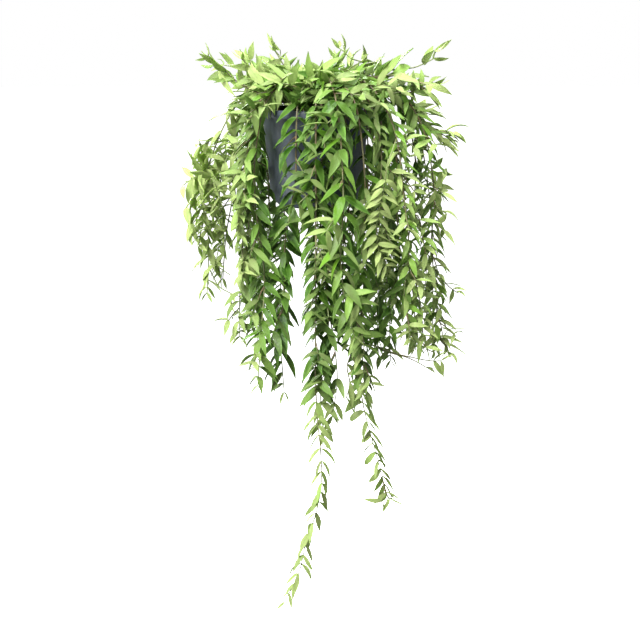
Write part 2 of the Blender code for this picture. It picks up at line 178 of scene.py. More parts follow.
class Recipe(Nodes):
    """The nodes of one material, built round its Principled shader."""

    def __init__(self, name: str) -> None:
        """Makes the material.

        Args:
            name: the material's name.
        """
        self.material = bpy.data.materials.new(name)
        super().__init__(self.material)
        self.shader = self.tree.nodes["Principled BSDF"]

    def mix(self, share: "float | Signal", first: "Colour | Signal",
            second: "Colour | Signal") -> Signal:
        """Mixes two colours.

        Args:
            share: how much of the second is taken.
            first: the colour at a share of 0.
            second: the colour at a share of 1.

        Returns:
            The mixed colour.
        """
        sockets = {0: share, 6: first, 7: second}
        return self.add("ShaderNodeMix", {"data_type": "RGBA"}, sockets, output=2)

    def shade(self, colour: "Colour | Signal", brightness: Signal) -> Signal:
        """Multiplies a colour by a number."""
        return self.add("ShaderNodeVectorMath", {"operation": "SCALE"},
                        {0: colour, "Scale": brightness})

    def place(self, scale: Triple = (1.0, 1.0, 1.0)) -> Signal:
        """The place on the object, stretched by a scale."""
        place = self.add("ShaderNodeTexCoord", output="Object")
        return self.add("ShaderNodeMapping", {}, {"Vector": place, "Scale": scale})

    def noise(self, scale: float, detail: float = 2.0, place: Signal | None = None) -> Signal:
        """Soft noise from 0 to 1 on the object's own coordinates.

        Args:
            scale: grains per metre.
            detail: how many finer layers it has.
            place: the coordinates to read, or None for the plain ones.

        Returns:
            The noise.
        """
        sockets = {"Vector": place or self.place(), "Scale": scale, "Detail": detail}
        return self.add("ShaderNodeTexNoise", {}, sockets)

    def band(self, value: Signal, low: float, high: float) -> Signal:
        """A smooth step from 0 at the low value to 1 at the high one."""
        sockets = {"Value": value, "From Min": low, "From Max": high}
        return self.add("ShaderNodeMapRange", {"interpolation_type": "SMOOTHSTEP"}, sockets)

    def attribute(self, name: str) -> Signal:
        """A number that the piece's mesh holds."""
        return self.add("ShaderNodeAttribute", {"attribute_name": name}, output="Fac")

    def bump(self, height: Signal, distance: float, strength: float = 1.0) -> Signal:
        """The normal bent by a height from 0 to 1 over a distance."""
        return self.add("ShaderNodeBump", {},
                        {"Height": height, "Distance": distance, "Strength": strength})

    def surface(self, **sockets: "float | Colour | Signal") -> None:
        """Gives the Principled shader its values, with _ in a name for a space."""
        for name, value in sockets.items():
            self.plug(self.shader.inputs[name.replace("_", " ")], value)


class Attribute(Enum):
    """The numbers from 0 to 1 that a stem's mesh holds for its finishes, painted light and shade among
    them.
    """

    TINT = "tint"
    YOUTH = "youth"
    UNDER = "under"


@dataclass(frozen=True)
class PotPlastic:
    """Matt dark plastic with a fine grain, faint upright streaks of painted sheen and rubbed edges."""

    colour: Colour = (0.058, 0.076, 0.094)
    rubbed: Colour = (0.145, 0.168, 0.190)
    dust: Colour = (0.120, 0.105, 0.085)
    roughness: float = 0.46
    sheen_streak_grains: Triple = (90.0, 90.0, 6.0)
    scuff_grains: Triple = (160.0, 160.0, 60.0)
    cloud_grains: float = 22.0
    fine_grains: float = 2600.0
    rubbed_lip: float = 0.012
    rubbed_foot: Pair = (0.008, 0.012)
    relief: float = 0.00012

    def make(self, lip_height: float, foot_height: float) -> bpy.types.Material:
        """Builds the material.

        Args:
            lip_height: the height of the lip's top, where the plastic is rubbed.
            foot_height: the height of the foot's corner.

        Returns:
            The material.
        """
        plastic = Recipe("pot_plastic")
        height = plastic.add("ShaderNodeSeparateXYZ", {}, {0: plastic.place()}, output="Z")
        sheen_streaks = plastic.noise(1.0, 3.0, plastic.place(self.sheen_streak_grains))
        clouds = plastic.noise(self.cloud_grains, 3.0)
        scratches = plastic.noise(1.0, 6.0, plastic.place(self.scuff_grains))
        scuffs = plastic.band(scratches, 0.60, 0.74)
        near_lip = plastic.band(height, lip_height - self.rubbed_lip, lip_height)
        below, above = self.rubbed_foot
        near_foot = 1.0 - plastic.band(height, foot_height - below, foot_height + above)
        wear = (scuffs * (0.25 + near_lip * 0.6 + near_foot * 0.6)).clamped()
        # Painted sheen: the upright streaks brighten the plastic's colour in bands.
        colour = plastic.shade(self.colour, 0.48 + sheen_streaks * 0.80 + clouds * 0.24)
        colour = plastic.mix(wear, colour, self.rubbed)
        dusty = plastic.band(clouds, 0.52, 0.80) * 0.16
        colour = plastic.mix(dusty, colour, self.dust)
        grain = plastic.noise(self.fine_grains, 2.0)
        plastic.surface(Base_Color=colour, Metallic=0.0,
                        Roughness=self.roughness + sheen_streaks * 0.08 + wear * 0.12,
                        Normal=plastic.bump(grain, self.relief, 0.6))
        return plastic.material


@dataclass(frozen=True)
class LeafFinish:
    """Satin leaves: green above, paler below, yellow-green where they are young and where light is painted
    on, deep green where shade is painted on.

    The glow is the light that passes through a leaf, least in an old leaf and most in a young one.
    """

    deep: Colour = (0.011, 0.046, 0.002)
    bright: Colour = (0.152, 0.322, 0.020)
    young: Colour = (0.590, 0.670, 0.290)
    under: Colour = (0.128, 0.264, 0.042)
    glow: Colour = (0.550, 0.700, 0.200)
    glow_shares: Pair = (0.13, 0.64)
    roughness: float = 0.36
    gloss: float = 0.20
    mottle_grains: float = 130.0
    midrib_edges: Pair = (0.03, 0.13)
    vein_waves: Pair = (50.0, 10.0)
    relief: float = 0.00030

    def make(self) -> bpy.types.Material:
        """Builds the material from the leaves' own map and numbers.

        Returns:
            The material.
        """
        leaf = Recipe("leaf_finish")
        tint = leaf.attribute(Attribute.TINT.value)
        youth = leaf.attribute(Attribute.YOUTH.value)
        under = leaf.attribute(Attribute.UNDER.value)
        surface_map = leaf.add("ShaderNodeUVMap", {"uv_map": "UVMap"})
        parts = {name: leaf.add("ShaderNodeSeparateXYZ", {}, {0: surface_map}, output=name)
                 for name in "XY"}
        across = abs(parts["X"] * 2.0 - 1.0)
        along = parts["Y"]
        mottle = leaf.noise(self.mottle_grains, 3.0)
        midrib = (1.0 - leaf.band(across, *self.midrib_edges)) * (1.0 - along * 0.5)
        veins = (along * self.vein_waves[0] - across * self.vein_waves[1]).sine()
        # Painted shade: the tint attribute is low by the pot's wall, which pulls those leaves to the deep
        # colour.
        colour = leaf.mix(tint, self.deep, self.bright)
        # Young growth and painted light both pull leaves to the young colour.
        colour = leaf.mix(youth, colour, self.young)
        colour = leaf.mix(under * (1.0 - youth) * 0.65, colour, self.under)
        colour = leaf.mix(midrib * 0.45, colour, self.under)
        colour = leaf.shade(colour, 0.84 + mottle * 0.26 + veins * 0.05)
        height = midrib * -0.6 + veins * 0.25 + mottle * 0.3
        leaf.surface(Base_Color=colour, Metallic=0.0,
                     Roughness=self.roughness + under * 0.16 + mottle * 0.08,
                     Specular_IOR_Level=self.gloss,
                     Normal=leaf.bump(height, self.relief, 0.7))
        self.let_light_through(leaf, youth)
        return leaf.material

    def let_light_through(self, leaf: Recipe, youth: Signal) -> None:
        """Mixes in the light that passes through a thin leaf.

        Args:
            leaf: the material's nodes.
            youth: how young the leaf is, with its painted light and shade, from 0 to 1.
        """
        old, young = self.glow_shares
        satin = Signal(leaf, leaf.shader.outputs[0])
        glow = leaf.add("ShaderNodeBsdfTranslucent", {}, {"Color": self.glow})
        share = youth * (young - old) + old
        mixed = leaf.add("ShaderNodeMixShader", {}, {"Fac": share, 1: satin, 2: glow})
        leaf.plug(leaf.tree.nodes["Material Output"].inputs["Surface"], mixed)


@dataclass(frozen=True)
class StemFinish:
    """Thin bark: brown and a little red when old, green towards the tip."""

    old: Colour = (0.090, 0.075, 0.035)
    red: Colour = (0.150, 0.075, 0.040)
    young: Colour = (0.140, 0.190, 0.055)
    patch_grains: float = 85.0
    fine_grains: float = 900.0
    relief: float = 0.0002

    def make(self) -> bpy.types.Material:
        """Builds the material.

        Returns:
            The material.
        """
        bark = Recipe("stem_finish")
        youth = bark.attribute(Attribute.YOUTH.value)
        patches = bark.noise(self.patch_grains, 3.0)
        grain = bark.noise(self.fine_grains, 2.0)
        colour = bark.mix(bark.band(patches, 0.42, 0.66), self.old, self.red)
        colour = bark.mix((youth * 0.9 + patches * 0.2).clamped(), colour, self.young)
        colour = bark.shade(colour, 0.80 + grain * 0.40)
        bark.surface(Base_Color=colour, Metallic=0.0, Roughness=0.55 + grain * 0.15,
                     Normal=bark.bump(grain, self.relief))
        return bark.material


@dataclass(frozen=True)
class MixFinish:
    """Damp, crumbly potting mix."""

    dark: Colour = (0.018, 0.012, 0.008)
    light: Colour = (0.075, 0.050, 0.032)
    lump_grains: float = 420.0
    fine_grains: float = 1800.0
    relief: float = 0.0012

    def make(self) -> bpy.types.Material:
        """Builds the material.

        Returns:
            The material.
        """
        crumb = Recipe("potting_mix")
        lumps = crumb.noise(self.lump_grains, 5.0)
        fine = crumb.noise(self.fine_grains, 3.0)
        colour = crumb.mix(crumb.band(lumps, 0.35, 0.70), self.dark, self.light)
        crumb.surface(Base_Color=crumb.shade(colour, 0.7 + fine * 0.6), Metallic=0.0,
                      Roughness=0.86 + fine * 0.12, Normal=crumb.bump(lumps, self.relief))
        return crumb.material


@dataclass(frozen=True)
class BarkFinish:
    """Brown chips of bark."""

    dark: Colour = (0.060, 0.032, 0.018)
    light: Colour = (0.190, 0.110, 0.062)
    ring_grains: Triple = (260.0, 260.0, 900.0)
    relief: float = 0.0006

    def make(self) -> bpy.types.Material:
        """Builds the material.

        Returns:
            The material.
        """
        chip = Recipe("bark_chips")
        rings = chip.noise(1.0, 4.0, chip.place(self.ring_grains))
        colour = chip.mix(chip.band(rings, 0.32, 0.70), self.dark, self.light)
        chip.surface(Base_Color=colour, Metallic=0.0, Roughness=0.80 + rings * 0.12,
                     Normal=chip.bump(rings, self.relief))
        return chip.material


def look_at_nothing() -> None:
    """Leaves edit mode and deselects every object."""
    if bpy.context.mode != "OBJECT":
        bpy.ops.object.mode_set(mode="OBJECT")
    bpy.ops.object.select_all(action="DESELECT")


def choose(obj: bpy.types.Object) -> None:
    """Selects one object alone and makes it the active one.

    Args:
        obj: the object.
    """
    look_at_nothing()
    obj.select_set(True)
    bpy.context.view_layer.objects.active = obj


def begin(name: str) -> bpy.types.Object:
    """Names the primitive that was just added and opens it in edit mode.

    Args:
        name: the piece's name.

    Returns:
        The object.
    """
    obj = bpy.context.active_object
    obj.name = obj.data.name = name
    bpy.ops.object.mode_set(mode="EDIT")
    return obj


def select_faces(obj: bpy.types.Object, wanted: Callable[[bmesh.types.BMFace], bool]) -> None:
    """Selects, in edit mode, the faces for which the test is true.

    Args:
        obj: the piece.
        wanted: the test.
    """
    bpy.ops.mesh.select_all(action="DESELECT")
    bpy.ops.mesh.select_mode(type="FACE")
    shape = bmesh.from_edit_mesh(obj.data)
    for face in shape.faces:
        face.select_set(wanted(face))
    bmesh.update_edit_mesh(obj.data)


def apply(obj: bpy.types.Object, kind: str, **settings: object) -> None:
    """Adds a modifier with its settings and applies it.

    Args:
        obj: the piece.
        kind: the modifier's type.
        settings: the modifier's settings.
    """
    choose(obj)
    modifier = obj.modifiers.new(kind.lower(), kind)
    for name, value in settings.items():
        setattr(modifier, name, value)
    bpy.ops.object.modifier_apply(modifier=modifier.name)


def face_outwards(obj: bpy.types.Object) -> None:
    """Merges doubled points and turns every face outwards.

    Args:
        obj: the piece.
    """
    choose(obj)
    bpy.ops.object.mode_set(mode="EDIT")
    bpy.ops.mesh.select_all(action="SELECT")
    bpy.ops.mesh.remove_doubles(threshold=0.00001)
    bpy.ops.mesh.normals_make_consistent(inside=False)
    bpy.ops.object.mode_set(mode="OBJECT")


def settle(obj: bpy.types.Object) -> None:
    """Moves the piece's place into its mesh, so its object sits at the origin."""
    choose(obj)
    bpy.ops.object.transform_apply(location=True, rotation=True, scale=True)


def joined(pieces: list[bpy.types.Object], name: str) -> bpy.types.Object:
    """Joins pieces into the first of them.

    Args:
        pieces: the objects, all with their place in their mesh.
        name: the name of the whole.

    Returns:
        The joined object.
    """
    look_at_nothing()
    for piece in pieces:
        piece.select_set(True)
    bpy.context.view_layer.objects.active = pieces[0]
    if len(pieces) > 1:
        bpy.ops.object.join()
    whole = pieces[0]
    whole.name = whole.data.name = name
    return whole


def placed(name: str, data: bpy.types.ID) -> bpy.types.Object:
    """Makes an object of a mesh, curve, lamp or camera and puts it in the scene.

    Args:
        name: the object's name.
        data: what it shows.

    Returns:
        The object.
    """
    obj = bpy.data.objects.new(name, data)
    bpy.context.scene.collection.objects.link(obj)
    return obj


def draw_out(move: Triple, ratios: Triple, centre: Triple) -> None:
    """Extrudes what is selected in edit mode and resizes its new end.

    Args:
        move: how far it is extruded.
        ratios: the size of the new end as shares of the old one's.
        centre: the place that it is resized about.
    """
    bpy.ops.mesh.extrude_region_move(TRANSFORM_OT_translate={"value": move})
    bpy.ops.transform.resize(value=ratios, center_override=centre)


def smooth(piece: bpy.types.Object, angle: float) -> None:
    """Shades a piece smooth, apart from edges sharper than an angle in degrees."""
    choose(piece)
    bpy.ops.object.shade_smooth_by_angle(angle=math.radians(angle))


def aim(obj: bpy.types.Object, place: Triple, target: Triple) -> None:
    """Puts a lamp or a camera in its place and turns it to a target.

    Args:
        obj: the lamp or the camera.
        place: where it stands.
        target: the point that it looks at.
    """
    obj.location = place
    towards = Vector(target) - Vector(place)
    obj.rotation_euler = towards.to_track_quat("-Z", "Y").to_euler()


def search_tree(points: list[Vector]) -> KDTree:
    """Puts points in a tree that finds the nearest of them.

    Args:
        points: the points.

    Returns:
        The tree, which gives a point's number in the list.
    """
    tree = KDTree(len(points))
    for i, point in enumerate(points):
        tree.insert(point, i)
    tree.balance()
    return tree


def fill_attribute(mesh: bpy.types.Mesh, name: Attribute, value: float | list[float]) -> None:
    """Gives every point of a mesh a number.

    Args:
        mesh: the mesh.
        name: which number it is.
        value: one value for all points, or a value for each.
    """
    count = len(mesh.vertices)
    held = mesh.attributes.get(name.value) or mesh.attributes.new(name.value, "FLOAT", "POINT")
    held.data.foreach_set("value", value if isinstance(value, list) else [value] * count)


def register(piece: bpy.types.Object, slot: str, *nodes: str) -> None:
    """Hands a finished piece to the frame and reports it.

    Args:
        piece: the piece.
        slot: the record's material slot; not used.
        nodes: the design's nodes that it stands for.
    """
    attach(piece, BODY)
    if nodes:
        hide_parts(*nodes)
    LOG.info("%s: %d faces", piece.name, len(piece.data.polygons))


def polar(azimuth: float, radius: float, z: float = 0.0) -> Vector:
    """The point at an azimuth in degrees, counted from the front towards +X."""
    angle = math.radians(azimuth)
    return Vector((radius * math.sin(angle), -radius * math.cos(angle), z))


def outward_from_axis(point: Vector) -> Vector:
    """The level direction from the pot's axis to a point."""
    return Vector((point.x, point.y, 0)).normalized()


def square_to(axis: Vector, direction: Vector) -> Vector:
    """The direction square to an axis that is nearest to the given one."""
    return (direction - direction.project(axis)).normalized()


def share_between(value: float, low: float, high: float) -> float:
    """How far a value is from the low to the high one, kept between 0 and 1."""
    return min(1.0, max(0.0, (value - low) / (high - low)))


@dataclass
class GrowersPot:
    """The pot: a tapered wall, a turned-out lip with a skirt, a ribbed foot and drain holes."""

    wall: float = 0.0015
    lip_height: float = 0.010
    lip_radius: float = 0.085
    wall_top_radius: float = 0.0765
    corner_radius: float = 0.065
    corner_z: float = -0.115
    base_radius: float = 0.053
    base_z: float = -0.128
    drain_count: int = 6
    drain_radius: float = 0.0035
    drain_ring_radius: float = 0.034
    drain_sides: int = 24
    sides: int = 96
    edge: float = 0.0004
    edge_angle: float = 40.0
    smooth_angle: float = 35.0
    rib_inset: float = 0.0005
    rib_height: float = 0.0003
    finish: PotPlastic = PotPlastic()

    def inner_radius(self, z: float) -> float:
        """The inner radius at a height on the tapered wall."""
        return self.outer_radius(z) - self.wall

    def outer_radius(self, z: float) -> float:
        """The outer radius at a height on the tapered wall."""
        share = (self.lip_height - z) / (self.lip_height - self.corner_z)
        return self.wall_top_radius + share * (self.corner_radius - self.wall_top_radius)

    def rings(self) -> list[Pair]:
        """The outline that the disc is drawn along.

        Returns:
            The radius and height of each ring, up the outside and down the inside.
        """
        skirt = self.lip_radius - self.wall
        under_lip = self.lip_height - 2 * self.wall
        return [
            (self.corner_radius, self.corner_z),
            (self.wall_top_radius, under_lip),
            (skirt, under_lip),
            (skirt, 0.0),
            (self.lip_radius, 0.0),
            (self.lip_radius, self.lip_height),
            (self.wall_top_radius - self.wall, self.lip_height),
            (self.corner_radius - self.wall, self.corner_z),
            (self.base_radius - self.wall, self.base_z + self.wall),
        ]

    def turn(self) -> bpy.types.Object:
        """Draws the closed shell out of a disc, ring by ring.

        Returns:
            The shell.
        """
        look_at_nothing()
        bpy.ops.mesh.primitive_circle_add(vertices=self.sides, radius=self.base_radius,
                                          fill_type="NGON", location=(0.0, 0.0, self.base_z))
        pot = begin("growers_pot")
        last_radius, last_z = self.base_radius, self.base_z
        for radius, z in self.rings():
            ratio = radius / last_radius
            draw_out((0.0, 0.0, z - last_z), (ratio, ratio, 1.0), (0.0, 0.0, z))
            last_radius, last_z = radius, z
        settle(pot)
        face_outwards(pot)
        return pot

    def raise_ribs(self, pot: bpy.types.Object) -> None:
        """Raises upright ribs round the chamfered foot.

        Args:
            pot: the pot's shell.
        """
        choose(pot)
        bpy.ops.object.mode_set(mode="EDIT")
        middle = (self.corner_z + self.base_z) / 2
        step = math.tau / self.sides

        def is_rib(face: bmesh.types.BMFace) -> bool:
            """Whether a face is every other one round the outside of the foot.

            Args:
                face: the face.

            Returns:
                Whether it becomes a rib.
            """
            centre = face.calc_center_median()
            outside = centre.xy.length > (self.corner_radius + self.base_radius) / 2 - self.wall / 2
            turn = round(math.atan2(centre.y, centre.x) / step - 0.5)
            return abs(centre.z - middle) < self.wall and outside and turn % 2 == 0

        select_faces(pot, is_rib)
        bpy.ops.mesh.inset(thickness=self.rib_inset, depth=self.rib_height, use_individual=True)
        bpy.ops.object.mode_set(mode="OBJECT")

    def drill_drains(self, pot: bpy.types.Object) -> None:
        """Cuts the round drain holes through the base.

        Args:
            pot: the pot's shell.
        """
        drills = []
        for i in range(self.drain_count):
            look_at_nothing()
            place = polar(360 * i / self.drain_count, self.drain_ring_radius, self.base_z)
            bpy.ops.mesh.primitive_cylinder_add(vertices=self.drain_sides, radius=self.drain_radius,
                                                depth=6 * self.wall, location=place)
            drills.append(bpy.context.active_object)
            settle(drills[-1])
        drill = joined(drills, "drain_drill")
        apply(pot, "BOOLEAN", operation="DIFFERENCE", object=drill, solver="EXACT")
        bpy.data.objects.remove(drill, do_unlink=True)

    def build(self) -> None:
        """Builds and dresses the pot."""
        pot = self.turn()
        self.raise_ribs(pot)
        self.drill_drains(pot)
        apply(pot, "BEVEL", width=self.edge, segments=2, limit_method="ANGLE",
              angle_limit=math.radians(self.edge_angle), use_clamp_overlap=True)
        smooth(pot, self.smooth_angle)
        pot.data.materials.clear()
        pot.data.materials.append(self.finish.make(self.lip_height, self.corner_z))
        register(pot, "pot_plastic", "pot")


@dataclass
class PottingMix:
    """The potting mix: a crumbly, slightly domed top with chips of bark pressed into it."""

    pot: GrowersPot
    edge_z: float = -0.002
    dome: float = 0.003
    gap: float = 0.0003
    rings: int = 9
    roughness: float = 0.0016
    smooth_angle: float = 50.0
    chip_smooth_angle: float = 30.0
    chip_length: float = 0.008
    chip_shape: Triple = (1.0, 0.62, 0.30)
    chip_edge: float = 0.10
    chip_unevenness: float = 0.16
    chip_tilt: float = 0.5
    chip_sizes: Pair = (0.45, 1.1)
    chip_count: int = 150
    seed: int = 31
    finish: MixFinish = MixFinish()
    chip_finish: BarkFinish = BarkFinish()

    def top(self, radius: float) -> float:
        """The height of the domed top at a radius."""
        return self.edge_z + self.dome * (1 - radius / self.pot.inner_radius(self.edge_z))

    def fill(self) -> bpy.types.Object:
        """Draws the filling out of a disc and breaks up its top.

        Returns:
            The filling.
        """
        pot = self.pot
        low = pot.base_z + pot.wall + self.gap
        radius = pot.base_radius - pot.wall - 2 * self.gap
        look_at_nothing()
        bpy.ops.mesh.primitive_circle_add(vertices=pot.sides, radius=radius, fill_type="NGON",
                                          location=(0.0, 0.0, low))
        soil = begin("potting_mix_fill")
        wall = pot.wall + self.gap
        edge = pot.inner_radius(self.edge_z) - self.gap
        last_z = low
        for ring, z in ((pot.corner_radius - wall, pot.corner_z + self.gap), (edge, self.edge_z)):
            ratio = ring / radius
            draw_out((0.0, 0.0, z - last_z), (ratio, ratio, 1.0), (0.0, 0.0, z))
            radius, last_z = ring, z
        for _ in range(self.rings):
            bpy.ops.mesh.inset(thickness=edge / (self.rings + 1), use_even_offset=False)
        bpy.ops.mesh.poke()
        settle(soil)
        face_outwards(soil)
        self.break_up(soil)
        return soil

    def break_up(self, soil: bpy.types.Object) -> None:
        """Domes the top and gives it seeded lumps that die out at the wall.

        Args:
            soil: the filling.
        """
        draw = Draw(self.seed)
        edge = self.pot.inner_radius(self.edge_z) - self.gap
        for vert in soil.data.vertices:
            radius = vert.co.xy.length
            if vert.co.z > self.edge_z - self.gap and radius < edge - self.gap:
                vert.co.z = self.top(radius) + draw.uniform(-1.0, 1.0) * self.roughness

    def chip(self) -> bpy.types.Object:
        """Models one chip of bark: a thin, bevelled, uneven block.

        Returns:
            The chip.
        """
        look_at_nothing()
        bpy.ops.mesh.primitive_cube_add(size=self.chip_length)
        chip = begin("bark_chip")
        bpy.ops.transform.resize(value=self.chip_shape, center_override=(0.0, 0.0, 0.0))
        bpy.ops.mesh.bevel(offset=self.chip_length * self.chip_edge, segments=1)
        settle(chip)
        draw = Draw(self.seed)
        for vert in chip.data.vertices:
            vert.co *= 1 + draw.uniform(-self.chip_unevenness, self.chip_unevenness)
        return chip

    def scatter(self) -> bpy.types.Object:
        """Presses copies of the chip into the top, each its own mesh.

        Returns:
            All the chips as one piece.
        """
        pattern = self.chip()
        draw = Draw(self.seed + 1)
        chips = []
        room = self.pot.inner_radius(self.edge_z) - self.chip_length
        for _ in range(self.chip_count):
            radius = room * math.sqrt(draw.random())
            place = polar(draw.uniform(0, 360), radius, self.top(radius) + self.roughness / 2)
            turn = Matrix.Rotation(draw.uniform(0, math.tau), 4, "Z")
            tilt = Matrix.Rotation(draw.uniform(-self.chip_tilt, self.chip_tilt), 4, "X")
            size = Matrix.Scale(draw.uniform(*self.chip_sizes), 4)
            mesh = pattern.data.copy()
            mesh.transform(Matrix.Translation(place) @ turn @ tilt @ size)
            chips.append(placed("bark_chip", mesh))
        bpy.data.objects.remove(pattern, do_unlink=True)
        return joined(chips, "bark_chips")

    def build(self) -> None:
        """Builds and dresses the filling and its chips."""
        soil = self.fill()
        smooth(soil, self.smooth_angle)
        soil.data.materials.append(self.finish.make())
        register(soil, "potting_mix", "soil")
        chips = self.scatter()
        smooth(chips, self.chip_smooth_angle)
        chips.data.materials.append(self.chip_finish.make())
        register(chips, "potting_mix")


class LeafForm(Enum):
    """How a leaf is bent: the depth of its fold, its waves, its twist and its droop."""

    OPEN = (0.20, 0.00, 0.08, 18.0)
    FOLDED = (0.48, 0.00, 0.00, 34.0)
    WAVY = (0.26, 0.06, 0.15, 26.0)
    TWISTED = (0.30, 0.03, 0.65, 44.0)
    CURLED = (0.36, 0.02, -0.40, 70.0)

    @property
    def fold(self) -> float:
        """How far the edges rise above the midrib, as a share of the half width."""
        return self.value[0]

    @property
    def wave(self) -> float:
        """How far the edges wave up and down, as a share of the width."""
        return self.value[1]

    @property
    def twist(self) -> float:
        """How far the tip is turned about the midrib, in radians."""
        return self.value[2]

    @property
    def droop(self) -> float:
        """The angle between the leaf's first and last direction, in radians."""
        return math.radians(self.value[3])


@dataclass
class LeafPattern:
    """One leaf, modelled once for each form and copied to every place.

    The smooth angle is in degrees, and the waves are in radians along the whole leaf.
    """

    length: float = 0.039
    width: float = 0.0115
    arch: float = 0.10
    thickness: float = 0.0005
    stalk_half: float = 0.0005
    shares: tuple[float, ...] = (0.07, 0.17, 0.31, 0.48, 0.66, 0.83, 1.0)
    widest_power: float = 0.82
    fullness: float = 1.18
    tip_half: float = 0.00012
    stalk_share: float = 0.125
    waves: float = 9.0
    smooth_angle: float = 55.0

    def half_width(self, share: float) -> float:
        """Half the leaf's width at a share of its length."""
        blade = self.width / 2 * math.sin(math.pi * share ** self.widest_power) ** self.fullness
        return max(blade, self.tip_half, self.stalk_half * (1 - share / self.stalk_share))

    def model(self, form: LeafForm) -> bpy.types.Object:
        """Models a leaf along +Y with its upper face up, its root at the origin.

        Args:
            form: how the leaf is bent.

        Returns:
            The leaf as a closed, thin solid with a map across and along it.
        """
        first = self.shares[0] * self.length
        look_at_nothing()
        bpy.ops.mesh.primitive_grid_add(x_subdivisions=2, y_subdivisions=1, size=first,
                                        location=(0.0, first / 2, 0.0))
        leaf = begin(f"leaf_{form.name.lower()}")
        shape = bmesh.from_edit_mesh(leaf.data)
        bpy.ops.transform.resize(value=(2 * self.stalk_half / first, 1.0, 1.0),
                                 center_override=(0.0, first / 2, 0.0))
        for vert in shape.verts:
            vert.select_set(vert.co.y > 0)
        shape.select_flush_mode()
        bmesh.update_edit_mesh(leaf.data)
        last_half, last_share = self.stalk_half, self.shares[0]
        for share in self.shares[1:]:
            half = self.half_width(share)
            move = (0.0, (share - last_share) * self.length, 0.0)
            draw_out(move, (half / last_half, 1.0, 1.0), (0.0, share * self.length, 0.0))
            last_half, last_share = half, share
        settle(leaf)
        self.unwrap(leaf.data)
        self.bend(leaf.data, form)
        face_outwards(leaf)
        self.thicken(leaf)
        return leaf

    def unwrap(self, mesh: bpy.types.Mesh) -> None:
        """Maps the flat leaf: 0 to 1 across it and 0 to 1 along it.

        Args:
            mesh: the flat leaf.
        """
        layer = mesh.uv_layers.get("UVMap") or mesh.uv_layers.new(name="UVMap")
        for loop in mesh.loops:
            place = mesh.vertices[loop.vertex_index].co
            side = (place.x > self.tip_half / 2) - (place.x < -self.tip_half / 2)
            layer.data[loop.index].uv = (0.5 + 0.5 * side, place.y / self.length)

    def bend(self, mesh: bpy.types.Mesh, form: LeafForm) -> None:
        """Folds, waves and twists the flat leaf, and lays its midrib on an arc.

        The arc's ends lie on the line from the root to the design's tip.

        Args:
            mesh: the flat leaf.
            form: how the leaf is bent.
        """
        first = form.droop / 2 - math.atan(self.arch)
        radius = self.length / form.droop
        for vert in mesh.vertices:
            x, y, _ = vert.co
            share = y / self.length
            side = (x > 0) - (x < 0)
            wave = form.wave * self.width * abs(side) * math.sin(self.waves * share + side)
            rise = form.fold * abs(x) + wave
            across = Matrix.Rotation(form.twist * share ** 2, 3, "Y") @ Vector((x, 0.0, rise))
            slope = first - form.droop * share
            forward, up = math.sin(first) - math.sin(slope), math.cos(slope) - math.cos(first)
            middle = Vector((0.0, forward, up))
            vert.co = middle * radius + Matrix.Rotation(slope, 3, "X") @ across

    def thicken(self, leaf: bpy.types.Object) -> None:
        """Gives the leaf its thickness, and marks its underside.

        Args:
            leaf: the bent leaf.
        """
        apply(leaf, "SOLIDIFY", thickness=self.thickness, offset=-1.0)
        mesh = leaf.data
        below = [0.0] * len(mesh.vertices)
        for face in mesh.polygons:
            if face.normal.z < 0:
                for index in face.vertices:
                    below[index] = 1.0
        for name in (Attribute.TINT, Attribute.YOUTH):
            fill_attribute(mesh, name, 0.0)
        fill_attribute(mesh, Attribute.UNDER, below)
        smooth(leaf, self.smooth_angle)


class StemKind(Enum):
    """The sorts of stem, by the ring that they root in and how they leave the pot."""

    INNER = "inner"
    MIDDLE = "middle"
    OUTER = "outer"
    UPRIGHT = "upright"


@dataclass(frozen=True)
class Hanging:
    """A hanging stem: its azimuth in degrees, its lowest height and the size of its leaves.

    Towards its end it lies beside its azimuth by the drift and further out by the flare. `bends`
    replaces the drift where a stem wanders: heights, with how far sideways it is there. The reach
    widens the arch towards its low end, and the shoulder widens its middle.
    """

    azimuth: float
    end: float
    size: float = 1.0
    drift: float = 0.0
    flare: float = 0.0
    reach: float = 1.0
    shoulder: float = 1.0
    bends: tuple[Pair, ...] = ()


@dataclass(frozen=True)
class Upright:
    """A stem that stands up or leans out: where it roots and the points that it grows through."""

    root_azimuth: float
    root_radius: float
    points: tuple[Triple, ...]
    size: float = 0.80


# The radius and height of the points where each sort of stem goes over the lip
ARCHES = {
    StemKind.INNER: ((0.058, 0.006), (0.063, 0.020), (0.073, 0.027), (0.085, 0.024),
                     (0.094, 0.006), (0.099, -0.040)),
    StemKind.MIDDLE: ((0.040, 0.012), (0.048, 0.032), (0.066, 0.042), (0.090, 0.037),
                      (0.113, 0.010), (0.129, -0.050)),
    StemKind.OUTER: ((0.020, 0.020), (0.030, 0.044), (0.052, 0.056), (0.084, 0.052),
                     (0.120, 0.026), (0.148, -0.025), (0.163, -0.110)),
}
